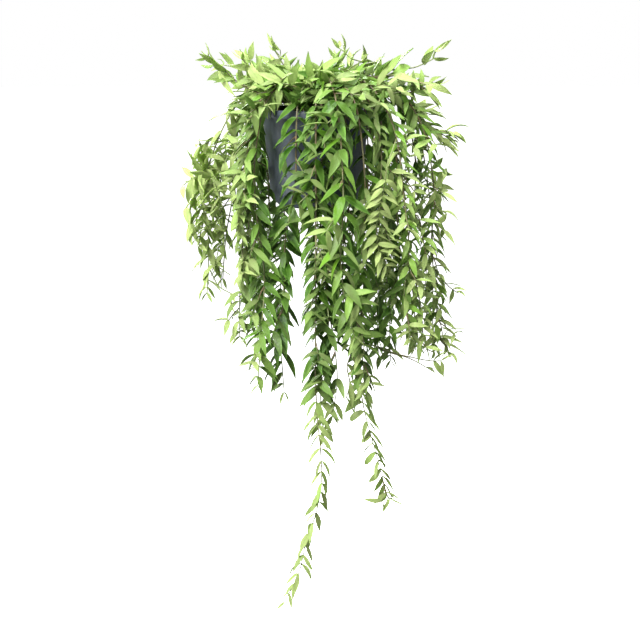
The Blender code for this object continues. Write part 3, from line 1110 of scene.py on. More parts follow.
# Every stem of the plant, in the design's order
STEMS = {
    StemKind.INNER: (
        Hanging(-16, -0.388, bends=((-0.10, 0.0), (-0.13, -0.010), (-0.165, -0.018),
                                    (-0.25, -0.018), (-0.315, -0.024), (-0.388, -0.021))),
        Hanging(5, -0.450, drift=0.006),
        Hanging(12, -0.430, size=0.90, drift=0.002),
        Hanging(25, -0.315, drift=0.004),
        Hanging(47, -0.572, size=0.85, bends=((-0.10, 0.0), (-0.32, -0.007), (-0.366, -0.016),
                                             (-0.412, -0.016), (-0.459, 0.007), (-0.505, 0.033),
                                             (-0.552, 0.054), (-0.572, 0.060))),
        Hanging(70, -0.350, size=0.85),
        Hanging(104, -0.345, size=0.85),
        Hanging(140, -0.335, size=0.85),
        Hanging(176, -0.300, size=0.85),
        Hanging(210, -0.345, size=0.85),
        Hanging(244, -0.345, size=0.85, drift=0.006),
        Hanging(297, -0.300, size=0.90, drift=0.006),
    ),
    StemKind.MIDDLE: (
        Hanging(0, -0.697, size=0.90, reach=0.90,
                bends=((-0.10, 0.0), (-0.36, -0.001), (-0.433, 0.003), (-0.478, 0.008),
                       (-0.539, 0.007), (-0.568, -0.004), (-0.606, -0.015), (-0.667, -0.028),
                       (-0.697, -0.046))),
        Hanging(30, -0.385, size=0.80, drift=-0.004),
        Hanging(60, -0.345, size=0.75),
        Hanging(91, -0.345, size=0.75, reach=1.10),
        Hanging(122, -0.310, size=0.80),
        Hanging(158, -0.320, size=0.80),
        Hanging(204, -0.235, size=0.80),
        Hanging(229, -0.320, size=0.80),
        Hanging(268, -0.238, size=0.75, flare=0.012, reach=0.93, shoulder=0.88),
        Hanging(312, -0.305, size=0.75, flare=0.008, shoulder=0.90),
        Hanging(320, -0.372, size=0.90, bends=((-0.12, 0.0), (-0.165, 0.007), (-0.27, 0.011),
                                              (-0.345, 0.011), (-0.372, 0.005))),
        Hanging(43, -0.215, size=0.65, drift=0.006, reach=1.02),
    ),
    StemKind.OUTER: (
        Hanging(273, -0.256, size=0.75, flare=-0.010, shoulder=0.84),
        Hanging(317, -0.215, size=0.75, reach=0.93, shoulder=0.88),
        Hanging(249, -0.215, size=0.75, reach=0.94, shoulder=0.86),
        Hanging(216, -0.250, size=0.80, reach=0.94, shoulder=0.90),
        Hanging(180, -0.240, size=0.80, reach=0.96),
        Hanging(142, -0.290, size=0.80),
        Hanging(108, -0.322, size=0.72, flare=0.020, reach=1.08),
        Hanging(76, -0.335, size=0.72, reach=1.06, shoulder=1.04),
        Hanging(48, -0.320, size=0.72, drift=0.034),
        Hanging(13, -0.290, size=1.0, drift=0.010),
    ),
    StemKind.UPRIGHT: (
        Upright(283, 0.010, ((-0.095, -0.026, 0.039), (-0.126, -0.028, 0.063),
                             (-0.151, -0.030, 0.083))),
        Upright(256, 0.031, ((-0.070, 0.018, 0.050), (-0.134, 0.034, 0.070))),
        Upright(307, 0.031, ((-0.067, -0.035, 0.037), (-0.086, -0.042, 0.062),
                             (-0.102, -0.048, 0.080))),
        Upright(316, 0.011, ((-0.034, -0.014, 0.052), (-0.057, -0.016, 0.090))),
        Upright(160, 0.008, ((0.014, 0.010, 0.050), (0.027, 0.004, 0.080)), size=0.65),
        Upright(32, 0.031, ((0.032, -0.040, 0.054), (0.064, -0.044, 0.076))),
        Upright(93, 0.031, ((0.056, 0.008, 0.062), (0.085, 0.016, 0.074))),
        Upright(84, 0.010, ((0.088, -0.011, 0.058), (0.138, -0.010, 0.067), (0.167, -0.010, 0.080)),
                size=0.95),
        Upright(67, 0.031, ((0.068, -0.028, 0.050), (0.120, -0.034, 0.056), (0.146, -0.036, 0.044)),
                size=0.95),
        Upright(239, 0.031, ((-0.050, 0.033, 0.058), (-0.070, 0.080, 0.064))),
        Upright(166, 0.031, ((0.018, 0.059, 0.058), (0.040, 0.098, 0.066))),
        Upright(350, 0.030, ((-0.010, -0.052, 0.048), (-0.020, -0.090, 0.038)), size=0.95),
        Upright(97, 0.052, ((0.070, 0.008, 0.030), (0.110, 0.009, 0.026), (0.149, 0.004, -0.007),
                            (0.178, -0.002, -0.025), (0.196, -0.004, -0.036)), size=0.65),
    ),
}


@dataclass(frozen=True)
class SideShoot:
    """A side shoot that shows from the front.

    It leaves its stem at a height, keeps to one depth behind or before the pot's axis, and grows
    through points across and up. The first share of it may be bare.
    """

    height: float
    depth: float
    points: tuple[Pair, ...]
    size: float = 0.80
    youth: float = 0.30
    bare: float = 0.0


# The side shoots that show from the front, by the node of their stem
SIDE_SHOOTS = {
    "outer_stem_01": (
        SideShoot(-0.060, -0.030, ((-0.159, -0.080), (-0.173, -0.088), (-0.186, -0.092)), size=0.98),
        SideShoot(-0.070, -0.070, ((-0.158, -0.074), (-0.175, -0.085), (-0.186, -0.093)), size=0.98),
        SideShoot(-0.100, -0.045, ((-0.164, -0.106), (-0.175, -0.117), (-0.184, -0.127)), size=0.95),
        SideShoot(-0.125, -0.030, ((-0.167, -0.138), (-0.176, -0.152), (-0.183, -0.163)), size=0.88),
        SideShoot(-0.085, -0.060, ((-0.145, -0.083), (-0.137, -0.103), (-0.132, -0.123)), size=0.92),
        SideShoot(-0.19, -0.012, ((-0.145, -0.214), (-0.135, -0.223), (-0.125, -0.230)), size=0.80),
        SideShoot(-0.215, -0.014, ((-0.144, -0.244), (-0.128, -0.255), (-0.111, -0.262)),
                  size=0.72, bare=0.55),
    ),
    "outer_stem_03": (
        SideShoot(-0.06, 0.03, ((-0.146, -0.064), (-0.158, -0.076), (-0.167, -0.090)), size=0.98),
        SideShoot(-0.12, 0.044, ((-0.154, -0.127), (-0.165, -0.142), (-0.174, -0.156)), size=0.98),
    ),
    "middle_stem_09": (
        SideShoot(-0.045, -0.016, ((-0.128, -0.062), (-0.137, -0.077), (-0.144, -0.092)), size=0.98),
        SideShoot(-0.115, -0.012, ((-0.130, -0.126), (-0.138, -0.139), (-0.147, -0.154)), size=0.98),
    ),
    "outer_stem_08": (
        SideShoot(-0.098, -0.060, ((0.170, -0.099), (0.178, -0.104)), size=0.85),
        SideShoot(-0.120, -0.062, ((0.170, -0.124), (0.179, -0.131)), size=0.85),
        SideShoot(-0.145, -0.058, ((0.171, -0.150), (0.180, -0.157)), size=0.85),
        SideShoot(-0.215, -0.046, ((0.178, -0.225), (0.191, -0.241), (0.204, -0.250)),
                  size=0.65, youth=0.5, bare=0.4),
        SideShoot(-0.255, -0.044, ((0.174, -0.261), (0.180, -0.274)), size=0.75),
        SideShoot(-0.270, -0.048, ((0.176, -0.290), (0.188, -0.300), (0.200, -0.312)), size=0.6, bare=0.7),
        SideShoot(-0.295, -0.050, ((0.178, -0.310), (0.187, -0.325), (0.193, -0.337)), size=0.8),
    ),
    "outer_stem_09": (
        SideShoot(-0.025, -0.13, ((0.098, -0.051), (0.092, -0.084), (0.087, -0.113), (0.082, -0.143),
                                (0.085, -0.171), (0.096, -0.196)),
                  size=0.68, youth=0.75, bare=0.3),
        SideShoot(-0.3, -0.092, ((0.147, -0.309), (0.159, -0.323), (0.167, -0.326)), size=0.75),
    ),
    "middle_stem_03": (
        SideShoot(-0.130, -0.080, ((0.141, -0.133), (0.150, -0.168), (0.155, -0.199), (0.154, -0.232)),
                  size=0.75),
        SideShoot(-0.200, -0.080, ((0.135, -0.210), (0.143, -0.239), (0.149, -0.271), (0.152, -0.304)),
                  size=0.75),
    ),
    "inner_stem_05": (
        SideShoot(-0.540, -0.030, ((0.102, -0.553), (0.111, -0.569)), size=0.72, youth=0.3),
        SideShoot(-0.555, -0.030, ((0.103, -0.561), (0.098, -0.573)), size=0.72, youth=0.3),
        SideShoot(-0.319, -0.076, ((0.084, -0.321), (0.113, -0.332), (0.142, -0.339), (0.163, -0.343),
                                (0.179, -0.343)),
                  size=0.6, bare=0.8),
    ),
    "inner_stem_06": (
        SideShoot(-0.33, -0.032, ((0.108, -0.342), (0.130, -0.348), (0.148, -0.356), (0.163, -0.365)),
                  size=0.6, bare=0.8),
    ),
    "inner_stem_04": (
        SideShoot(-0.3, -0.094, ((0.050, -0.326), (0.044, -0.347), (0.048, -0.371), (0.043, -0.393)),
                  size=0.78, youth=0.5),
    ),
    "inner_stem_12": (
        SideShoot(-0.060, -0.030, ((-0.071, -0.070), (-0.068, -0.098), (-0.067, -0.129), (-0.066, -0.167)),
                  size=0.8, youth=0.0),
    ),
    "inner_stem_11": (
        SideShoot(-0.080, 0.036, ((-0.072, -0.085), (-0.069, -0.126), (-0.067, -0.168), (-0.064, -0.204)),
                  size=0.8, youth=0.0),
    ),
    "inner_stem_02": (
        SideShoot(-0.145, -0.126, ((0.000, -0.160), (0.007, -0.181), (0.017, -0.209)),
                  size=0.55, youth=0.4, bare=0.3),
    ),
    "upright_stem_01": (
        SideShoot(0.052, -0.028, ((-0.135, 0.062), (-0.135, 0.073)), size=0.9, youth=0.8),
    ),
    "upright_stem_03": (
        SideShoot(0.060, -0.045, ((-0.092, 0.069), (-0.090, 0.080)), size=0.85, youth=0.7),
    ),
    "upright_stem_04": (
        SideShoot(0.080, -0.016, ((-0.050, 0.083), (-0.050, 0.092)), size=0.9, youth=0.8),
    ),
    "upright_stem_09": (
        SideShoot(0.050, -0.036, ((0.151, 0.037), (0.160, 0.043)), size=0.8, youth=0.3),
    ),
    "upright_stem_13": (
        SideShoot(0.020, 0.006, ((0.147, 0.003), (0.158, 0.008)), size=0.75, youth=0.3),
        SideShoot(-0.012, -0.002, ((0.181, -0.037), (0.193, -0.047)), size=0.62, youth=0.5),
    ),
    "upright_stem_06": (
        SideShoot(0.062, -0.046, ((0.049, 0.080), (0.040, 0.089), (0.031, 0.095)),
                  size=0.52, youth=0.9, bare=0.45),
    ),
    "upright_stem_08": (
        SideShoot(0.068, -0.010, ((0.165, 0.080), (0.168, 0.091)), size=0.95, youth=0.9),
    ),
}


@dataclass(frozen=True)
class Spot:
    """A place on a route: which stretch it is on, how far along it, its point and direction."""

    stretch: int
    share: float
    point: Vector
    along: Vector


@dataclass
class Route:
    """A stem's centre line, from its root in the soil to its tip."""

    points: list[Vector]

    def spot(self, distance: float) -> Spot:
        """Finds a spot on the straight stretches between the points.

        Args:
            distance: how far it is from the tip.

        Returns:
            The spot, or the root if the route is shorter.
        """
        for i in range(len(self.points) - 2, -1, -1):
            here, there = self.points[i], self.points[i + 1]
            length = (there - here).length
            if distance <= length:
                along = (there - here) / length
                return Spot(i, 1 - distance / length, there - along * distance, along)
            distance -= length
        first, second = self.points[:2]
        return Spot(0, 0.0, first, (second - first).normalized())

    def curve(self, stretch: int, share: float) -> Vector:
        """The point of the smooth curve through the points.

        Args:
            stretch: the number of the stretch between two points.
            share: how far along the stretch.

        Returns:
            The point on the curve.
        """
        here, there = self.points[stretch], self.points[stretch + 1]
        if stretch == 0:
            return here.lerp(there, share)
        before = self.points[stretch - 1]
        after = self.points[min(stretch + 2, len(self.points) - 1)]
        slow, fast = (there - before) / 2, (after - here) / 2
        s, s2, s3 = share, share ** 2, share ** 3
        return (here * (2 * s3 - 3 * s2 + 1) + slow * (s3 - 2 * s2 + s)
                + there * (3 * s2 - 2 * s3) + fast * (s3 - s2))

    def above_soil(self) -> float:
        """The length of the route without its first stretch, which is in the soil."""
        return sum((b - a).length for a, b in zip(self.points[1:], self.points[2:]))

    def centre_line(self, step: float) -> list[Vector]:
        """The smooth curve through the points.

        Args:
            step: about how far apart its points are.

        Returns:
            The points of the curve.
        """
        line = []
        for i, (here, there) in enumerate(zip(self.points, self.points[1:])):
            count = max(1, math.ceil((there - here).length / step))
            line += [self.curve(i, j / count) for j in range(count)]
        return [*line, self.points[-1]]


@dataclass(frozen=True)
class Leaf:
    """A leaf's place on its stem and its own sizes. Angles are in degrees."""

    spot: Spot
    turn: float
    spread: float
    length: float
    width: float


@dataclass
class Branch:
    """A leafy axis, the stem itself or a side shoot: its route, its leaves and its thickness.

    Its leaves may reach out of the design's box by its room.
    """

    route: Route
    pairs: list[list[Leaf]]
    root_radius: float
    tip_radius: float
    youth: float
    room: float


@dataclass
class StemPlan:
    """Where a stem grows: its route and the pairs of leaves on it, counted from the tip.

    The design's solid carries one pair of every so many.
    """

    kind: StemKind
    number: int
    size: float
    route: Route
    pairs: list[list[Leaf]]
    every: int

    @property
    def node(self) -> str:
        """The name of the design's node."""
        return f"{self.kind.value}_stem_{self.number:02d}"


@dataclass
class GrowthPlan:
    """The design's own rules for where stems run and where their pairs of leaves sit."""

    mix: PottingMix
    gap: float = 0.0003
    hole_depth: float = 0.025
    hole_spare: float = 0.004
    hang_step: float = 0.070
    bend_step: float = 0.045
    sway: float = 0.007
    sway_lengths: Pair = (0.190, 0.330)
    tip_slot: float = 0.001
    slot_spacing: float = 0.0185
    slot_shift: float = 0.004
    pair_spacing: float = 0.074
    bare_above_soil: float = 0.004
    pair_turn: float = 68.0
    pair_turn_shift: float = 20.0
    leaf_turn_shift: float = 8.0
    hanging_spreads: Pair = (28.0, 46.0)
    upright_spreads: Pair = (42.0, 62.0)
    leaf_lengths: Pair = (0.036, 0.044)
    leaf_slenderness: Pair = (0.26, 0.32)
    young_leaves: tuple[float, ...] = (0.55, 0.72, 0.88)
    tail_depths: Pair = (0.340, 0.430)
    tail_size: float = 0.70
    seed: int = 7
    seed_step: int = 100

    def wander(self, row: Hanging, z: float) -> float:
        """How far a stem with bends is beside its azimuth at a height.

        Args:
            row: the stem.
            z: the height.

        Returns:
            The distance, or 0 where its bends don't reach.
        """
        for (high, at_high), (low, at_low) in zip(row.bends, row.bends[1:]):
            if low <= z <= high:
                return at_high + (at_low - at_high) * (high - z) / (high - low)
        return 0.0

    def hanging_route(self, row: Hanging, arch: tuple[Pair, ...], draw: Draw) -> Route:
        """The route of a hanging stem.

        Args:
            row: the stem.
            arch: the radius and height of the points where it goes over the lip.
            draw: the stem's own random draws.

        Returns:
            The route, up out of the soil, over the lip and down.
        """
        radius = arch[0][0]
        points = [polar(row.azimuth, radius, self.mix.top(radius) - self.hole_depth + self.gap)]
        for i, (radius, z) in enumerate(arch):
            share = i / (len(arch) - 1)
            radius *= 1 + (row.reach - 1) * share + (row.shoulder - 1) * math.sin(math.pi * share)
            points.append(polar(row.azimuth, radius, z))
        across, out = polar(row.azimuth + 90, 1.0), polar(row.azimuth, 1.0)
        waves = [(draw.uniform(0, math.tau), draw.uniform(*self.sway_lengths)) for _ in range(2)]
        steps = max(2, round((z - row.end) / (self.bend_step if row.bends else self.hang_step)))
        for step in range(1, steps + 1):
            share = step / steps
            low = z + (row.end - z) * share
            beside, apart = (self.sway * math.sin(math.tau * low / length + phase)
                             * min(1, 2 * share) for phase, length in waves)
            beside = self.wander(row, low) if row.bends else beside + row.drift * share ** 2
            apart += row.flare * share ** 2
            points.append(polar(row.azimuth, radius, low) + across * beside + out * apart)
        return Route(points)

    def upright_route(self, row: Upright) -> Route:
        """The route of an upright stem: straight out of the soil, then leaning to its tip.

        Args:
            row: the stem.

        Returns:
            The route.
        """
        surface = self.mix.top(row.root_radius)
        low = polar(row.root_azimuth, row.root_radius, surface - self.hole_depth + self.gap)
        out = polar(row.root_azimuth, row.root_radius, surface + self.hole_spare)
        points = [out, *map(Vector, row.points)]
        eased = []
        # The middle of each stretch lies on a smooth curve through the points beside it
        for i, (here, there) in enumerate(zip(points, points[1:])):
            before, after = points[max(i - 1, 0)], points[min(i + 2, len(points) - 1)]
            eased += [here, ((here + there) * 9 - before - after) / 16]
        return Route([low, *eased, points[-1]])

    def on_tail(self, place: Vector) -> float:
        """How far down the long tails a place is, from 0 above them to 1."""
        return share_between(-place.z, *self.tail_depths)

    def leaf_pairs(self, route: Route, spreads: Pair, size: float,
                   draw: Draw) -> list[list[Leaf]]:
        """The stem's pairs of leaves, counted from its tip down to the soil.

        Args:
            route: the stem's route.
            spreads: the least and the greatest angle between leaf and stem.
            size: the size of its leaves, 1 for full size.
            draw: the stem's own random draws.

        Returns:
            The pairs.
        """
        pairs: list[list[Leaf]] = []
        distance = self.tip_slot
        turn = draw.uniform(0, 360)
        while distance < route.above_soil() - self.bare_above_soil:
            spot = route.spot(distance)
            young = self.young_leaves[len(pairs)] if len(pairs) < len(self.young_leaves) else 1.0
            pair = []
            for side in (0, 180):
                turned = turn + side + draw.uniform(-self.leaf_turn_shift, self.leaf_turn_shift)
                length = draw.uniform(*self.leaf_lengths) * young * size
                length *= 1 + (self.tail_size - 1) * self.on_tail(spot.point)
                width = length * draw.uniform(*self.leaf_slenderness)
                pair.append(Leaf(spot, turned, draw.uniform(*spreads), length, width))
            pairs.append(pair)
            turn += self.pair_turn + draw.uniform(-self.pair_turn_shift, self.pair_turn_shift)
            shift = draw.uniform(-self.slot_shift, self.slot_shift)
            distance += (self.slot_spacing + shift) * size
        return pairs

    def stems(self) -> list[StemPlan]:
        """Every stem of the plant, in the design's order.

        Returns:
            The plan of each stem.
        """
        plans: list[StemPlan] = []
        for kind, rows in STEMS.items():
            for number, row in enumerate(rows, 1):
                draw = Draw(self.seed + self.seed_step * len(plans))
                if isinstance(row, Upright):
                    route, spreads = self.upright_route(row), self.upright_spreads
                else:
                    route, spreads = self.hanging_route(row, ARCHES[kind], draw), self.hanging_spreads
                pairs = self.leaf_pairs(route, spreads, row.size, draw)
                every = round(self.pair_spacing / (self.slot_spacing * row.size))
                plans.append(StemPlan(kind, number, row.size, route, pairs, every))
        return plans


@dataclass(frozen=True)
class ShootHabit:
    """How side shoots grow on the part of a stem between two heights. Angles are in degrees."""

    heights: Pair
    spacing: float
    lengths: Pair
    sizes: Pair
    spreads: Pair
    turns: float
    droop: float
    ceiling: float = 0.058
    step: float = 0.008
    least_steps: int = 3
    spacing_shares: Pair = (0.6, 1.4)

    def spots(self, route: Route, draw: Draw) -> list[Spot]:
        """The spots at which shoots leave a stem.

        Args:
            route: the stem's route.
            draw: the stem's own random draws.

        Returns:
            The spots.
        """
        low, high = self.heights
        found = []
        distance = draw.random() * self.spacing
        while distance < route.above_soil():
            spot = route.spot(distance)
            if low < spot.point.z < high:
                found.append(spot)
            distance += self.spacing * draw.uniform(*self.spacing_shares)
        return found


class Zone(Enum):
    """The parts of a stem: over the pot, beside it and below it, each with its habit."""

    MOUND = ShootHabit(heights=(0.012, 0.060), spacing=0.034, lengths=(0.018, 0.040),
                       sizes=(0.90, 1.10), spreads=(35.0, 80.0), turns=85.0, droop=6.0)
    SKIRT = ShootHabit(heights=(-0.130, 0.012), spacing=0.040, lengths=(0.018, 0.040),
                       sizes=(0.95, 1.15), spreads=(35.0, 70.0), turns=95.0, droop=14.0)
    TRAIL = ShootHabit(heights=(-0.340, -0.130), spacing=0.076, lengths=(0.024, 0.050),
                       sizes=(0.90, 1.10), spreads=(25.0, 50.0), turns=60.0, droop=20.0)


@dataclass(frozen=True)
class Clearing:
    """A box that leaves and side shoots keep out of, apart from the design's own leaves."""

    low: Triple
    high: Triple

    def holds(self, point: Vector) -> bool:
        """Whether a point is in the box."""
        return all(self.low[i] < point[i] < self.high[i] for i in range(3))


# The gaps between the hanging groups, and the open places on the pot
CLEARINGS = {
    "left window on the pot": Clearing((-0.076, -0.200, -0.092), (-0.056, -0.040, -0.002)),
    "hollow before the pot's right side": Clearing((0.046, -0.200, -0.100), (0.074, -0.070, -0.014)),
    "bay above the left group": Clearing((-0.200, -0.200, -0.030), (-0.127, 0.200, 0.046)),
    "gap below the left group": Clearing((-0.134, -0.200, -0.255), (-0.108, 0.200, -0.190)),
    "gap in the left group": Clearing((-0.134, -0.200, -0.190), (-0.119, 0.200, -0.112)),
    "slit below the pot": Clearing((-0.033, -0.200, -0.385), (-0.020, 0.200, -0.190)),
    "gap beside the left group's tip": Clearing((-0.050, -0.200, -0.410), (-0.030, 0.200, -0.338)),
    "gap beside the right tail": Clearing((0.024, -0.200, -0.400), (0.046, 0.200, -0.325)),
}
# Tails with their broad leaves at one side and slim ones at the other
ONE_SIDED_TAILS = ("inner_stem_05",)
# How much paler than the others these stems are, from 0 to 1: they are younger, and light is painted on
# them
YOUNG_AND_LIT_STEMS = {"outer_stem_01": 0.74, "outer_stem_03": 0.70, "middle_stem_09": 0.66,
               "middle_stem_10": 0.25, "outer_stem_02": 0.20, "middle_stem_12": 0.20}


@dataclass(frozen=True)
class LeafTones:
    """How young and how bright the leaves are, as shares from 0 to 1, with painted light and shade in
    both.

    The tip's young look is gone after the young pairs. In the painted shade by the pot's wall only a part
    of paleness and tone is left, and the tails and chance highlights are painted paler.
    """

    tip_youth: float = 0.45
    young_pairs: int = 5
    small_youth: float = 0.18
    upright_youth: float = 0.08
    tail_painted_light: float = 0.54
    youth_shifts: Pair = (-0.16, 0.22)
    shaded_youth: float = 0.3
    shoot_youths: Pair = (0.0, 0.4)
    shoot_share: float = 0.25
    painted_highlight_chance: float = 0.16
    painted_highlight: float = 0.36
    palest: float = 0.82
    tints: Pair = (0.0, 0.95)
    shaded_tint: float = 0.18
    small_tint: float = 0.10


@dataclass
class LeafyStem:
    """One stem of the plant: its tapered bark, its side shoots and every leaf on them.

    Turns and spreads are in degrees, and rolls are in radians. The tries are what a leaf is turned
    and spread further by until its place is clear. The checked points of a leaf are shares of its
    width, its length and its arch.
    """

    plan: StemPlan
    growth: GrowthPlan
    pot: GrowersPot
    patterns: dict[LeafForm, bpy.types.Object]
    pattern: LeafPattern
    root_radius: float = 0.0013
    tip_radius: float = 0.0008
    ring_step: float = 0.008
    smooth_angle: float = 60.0
    tries: tuple[Pair, ...] = ((0, 0), (28, 0), (-28, 0), (0, -14), (52, 0), (-52, 0), (24, 16),
                               (-24, 16), (80, 0), (-80, 0))
    checked: tuple[Triple, ...] = ((0, 0.45, 0.2), (0.5, 0.45, 0.2), (-0.5, 0.45, 0.2),
                                   (0, 0.75, 0.56), (0, 1, 1))
    row_turn: float = 84.0
    row_shift: float = 30.0
    beside: float = 0.62
    beside_turn: float = 90.0
    beside_every: int = 3
    upright_turns: Pair = (15.0, 70.0)
    low_sprig_spread: float = 0.6
    sprig_growth: tuple[float, ...] = (1.10, 1.30, 1.20)
    one_sided_turns: Pair = (172.0, -20.0)
    one_sided_shift: float = 0.5
    one_sided_spreads: Pair = (0.90, 0.45)
    one_sided_widths: Pair = (1.35, 0.65)
    one_sided_length: float = 1.28
    wider_spreads: Pair = (-6.0, 24.0)
    tail_narrowing: float = 17.0
    to_lights: Pair = (0.8, 2.4)
    tail_to_light: float = 0.8
    front_depth: float = 0.02
    turn_to_front: float = 1.6
    light_from_outside: float = 0.75
    light_from_above: float = 0.55
    steep: float = 0.6
    breadths: Pair = (0.88, 1.04)
    tail_breadth: float = 0.06
    slim_length: float = 1.08
    tail_length: float = 0.22
    young_length: float = 0.08
    rolls: Pair = (-0.45, 0.45)
    form_weights: tuple[int, ...] = (4, 2, 3, 2, 2)
    palest_size: float = 0.65
    # Painted shade by the pot's wall turns into painted light between these radii and up the mound.
    shaded_radius: float = 0.108
    open_radius: float = 0.170
    mound_heights: Pair = (0.010, 0.055)
    match: float = 0.0004
    clearance: float = 0.0015
    room: float = 0.008
    shown_room: float = 0.016
    shoot_spreads: Pair = (35.0, 65.0)
    shoot_radii: Pair = (0.0010, 0.0007)
    shoot_sway: float = 0.08
    shoot_young_leaves: tuple[float, ...] = (0.80, 0.92)
    shoot_slot_spacing: float = 0.0165
    search_step: float = 0.002
    bare_stems: tuple[str, ...] = ("upright_stem_08",)
    bare_from: int = 2
    seed: int = 5000
    seed_step: int = 100
    tones: LeafTones = LeafTones()
    draw: Draw = field(init=False)
    shoot_growth: GrowthPlan = field(init=False)

    def __post_init__(self) -> None:
        """Starts the stem's own random draws, and sets the closer pairs of its shoots."""
        sort = list(StemKind).index(self.plan.kind)
        self.draw = Draw(self.seed + self.seed_step * sort + self.plan.number)
        self.shoot_growth = replace(self.growth, young_leaves=self.shoot_young_leaves,
                                    slot_spacing=self.shoot_slot_spacing)

    @property
    def paleness(self) -> float:
        """How pale the stem's leaves are, from 0 for large leaves to 1 for the smallest."""
        return min(1.0, (1.0 - self.plan.size) / (1.0 - self.palest_size))

    @property
    def pale_share(self) -> float:
        """How much paler than the others the whole stem is, from 0 to 1: younger, with painted light."""
        return YOUNG_AND_LIT_STEMS.get(self.plan.node, 0.0)

    def leaf_matrix(self, leaf: Leaf, turn_by: float, spread_by: float,
                    to_light: float = 1.0) -> Matrix:
        """The leaf's axes: width along x, length along y and its upper face along z.

        Args:
            leaf: the leaf.
            turn_by: degrees that it is turned further round the stem.
            spread_by: degrees that it is spread further from the stem.
            to_light: how much more than the design's leaves its face turns to the light.

        Returns:
            The leaf's place.
        """
        along = leaf.spot.along
        outward = outward_from_axis(leaf.spot.point)
        level = outward if abs(along.z) > self.steep else UP
        side = square_to(along, level)
        side.rotate(Matrix.Rotation(math.radians(leaf.turn + turn_by), 3, along))
        spread = math.radians(leaf.spread + spread_by)
        length = along * math.cos(spread) + side * math.sin(spread)
        face = side * math.cos(spread) - along * math.sin(spread)
        face += (outward * self.light_from_outside + UP * self.light_from_above) * to_light
        face += self.across_view(leaf, outward) * (to_light - 1.0)
        face = square_to(length, face)
        width = length.cross(face)
        axes = Matrix((width, length, face)).transposed().to_4x4()
        return Matrix.Translation(leaf.spot.point) @ axes

    def across_view(self, leaf: Leaf, outward: Vector) -> Vector:
        """How far a leaf at the plant's left or right turns its face to the front or the back."""
        nearer = -1.0 if leaf.spot.point.y < self.front_depth else 1.0
        return Vector((0.0, nearer * self.turn_to_front * abs(outward.x), 0.0))

    def points_of(self, leaf: Leaf, matrix: Matrix) -> list[Vector]:
        """A few points of the leaf: its middle, its sides and its tip."""
        drop = -leaf.length * self.pattern.arch
        return [matrix @ Vector((x * leaf.width, y * leaf.length, z * drop))
                for x, y, z in self.checked]

    def is_clear(self, point: Vector, room: float) -> bool:
        """Whether a point is clear of the pot and the clearings.

        Args:
            point: the point.
            room: how far it may be outside the design's box.

        Returns:
            Whether it is clear.
        """
        pot = self.pot
        radius = point.xy.length
        if any(point[i] < CAD_BOX[0][i] - room or point[i] > CAD_BOX[1][i] + room for i in range(3)):
            return False
        if any(clearing.holds(point) for clearing in CLEARINGS.values()):
            return False
        if point.z >= pot.lip_height + self.clearance or point.z < pot.base_z - self.clearance:
            return True
        if point.z < 0.0:
            return radius > pot.outer_radius(point.z) + self.clearance
        inside = radius < pot.wall_top_radius - 2 * self.clearance
        return radius > pot.lip_radius + self.clearance or inside

    def designed_place(self, leaf: Leaf, corners: KDTree) -> Matrix | None:
        """The place that the design's solid gives this leaf.

        Args:
            leaf: the leaf.
            corners: the points of the design's solid.

        Returns:
            The place, or None if the solid lacks the leaf.
        """
        for turn_by, spread_by in self.tries:
            matrix = self.leaf_matrix(leaf, turn_by, spread_by)
            tip = matrix @ Vector((0, leaf.length, -leaf.length * self.pattern.arch))
            if corners.find(tip)[2] < self.match:
                return matrix
        return None

    def in_a_row(self, leaf: Leaf, side: int, slot: int) -> Leaf:
        """The leaf turned into one of the rows along its stem.

        On a hanging stem the two rows face outwards, and at the plant's left and right two pairs of
        three are turned by a right angle. On an upright stem the leaves stand up.

        Args:
            leaf: the leaf.
            side: which of its pair it is, 0 or 1.
            slot: the number of its pair, counted from the tip.

        Returns:
            The turned leaf.
        """
        if self.plan.kind is StemKind.UPRIGHT and leaf.spot.along.z > 0:
            turn = self.draw.uniform(*self.upright_turns)
            return replace(leaf, turn=turn if side else -turn)
        shift = self.draw.uniform(-self.row_shift, self.row_shift)
        if self.plan.node in ONE_SIDED_TAILS and self.growth.on_tail(leaf.spot.point) > 0:
            return replace(leaf, turn=self.one_sided_turns[side] + self.one_sided_shift * shift,
                           spread=leaf.spread * self.one_sided_spreads[side],
                           width=leaf.width * self.one_sided_widths[side],
                           length=leaf.length * self.one_sided_length)
        turn = (self.row_turn + shift) * (1 if side else -1)
        if self.plan.kind is StemKind.UPRIGHT:
            return replace(leaf, turn=turn, spread=leaf.spread * self.low_sprig_spread)
        if abs(leaf.spot.point.xy.normalized().x) > self.beside and slot % self.beside_every:
            turn += self.beside_turn
        return replace(leaf, turn=turn)

    def free_place(self, leaf: Leaf, room: float) -> Matrix | None:
        """Finds the first of the tried places that is clear.

        Args:
            leaf: the leaf.
            room: how far it may reach out of the design's box.

        Returns:
            The place, or None if none of them is clear.
        """
        on_tail = self.growth.on_tail(leaf.spot.point)
        one_sided = self.plan.node in ONE_SIDED_TAILS
        narrower = 0.0 if one_sided else self.tail_narrowing * on_tail
        wider = self.draw.uniform(*self.wider_spreads) - narrower
        to_light = self.draw.uniform(*self.to_lights) + self.tail_to_light * on_tail
        for turn_by, spread_by in self.tries:
            matrix = self.leaf_matrix(leaf, turn_by, spread_by + wider, to_light)
            if all(self.is_clear(point, room) for point in self.points_of(leaf, matrix)):
                return matrix
        return None

    def corners(self) -> KDTree:
        """The points of the design's solid, ready for a search."""
        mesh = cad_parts[self.plan.node].data
        return search_tree([vert.co for vert in mesh.vertices])

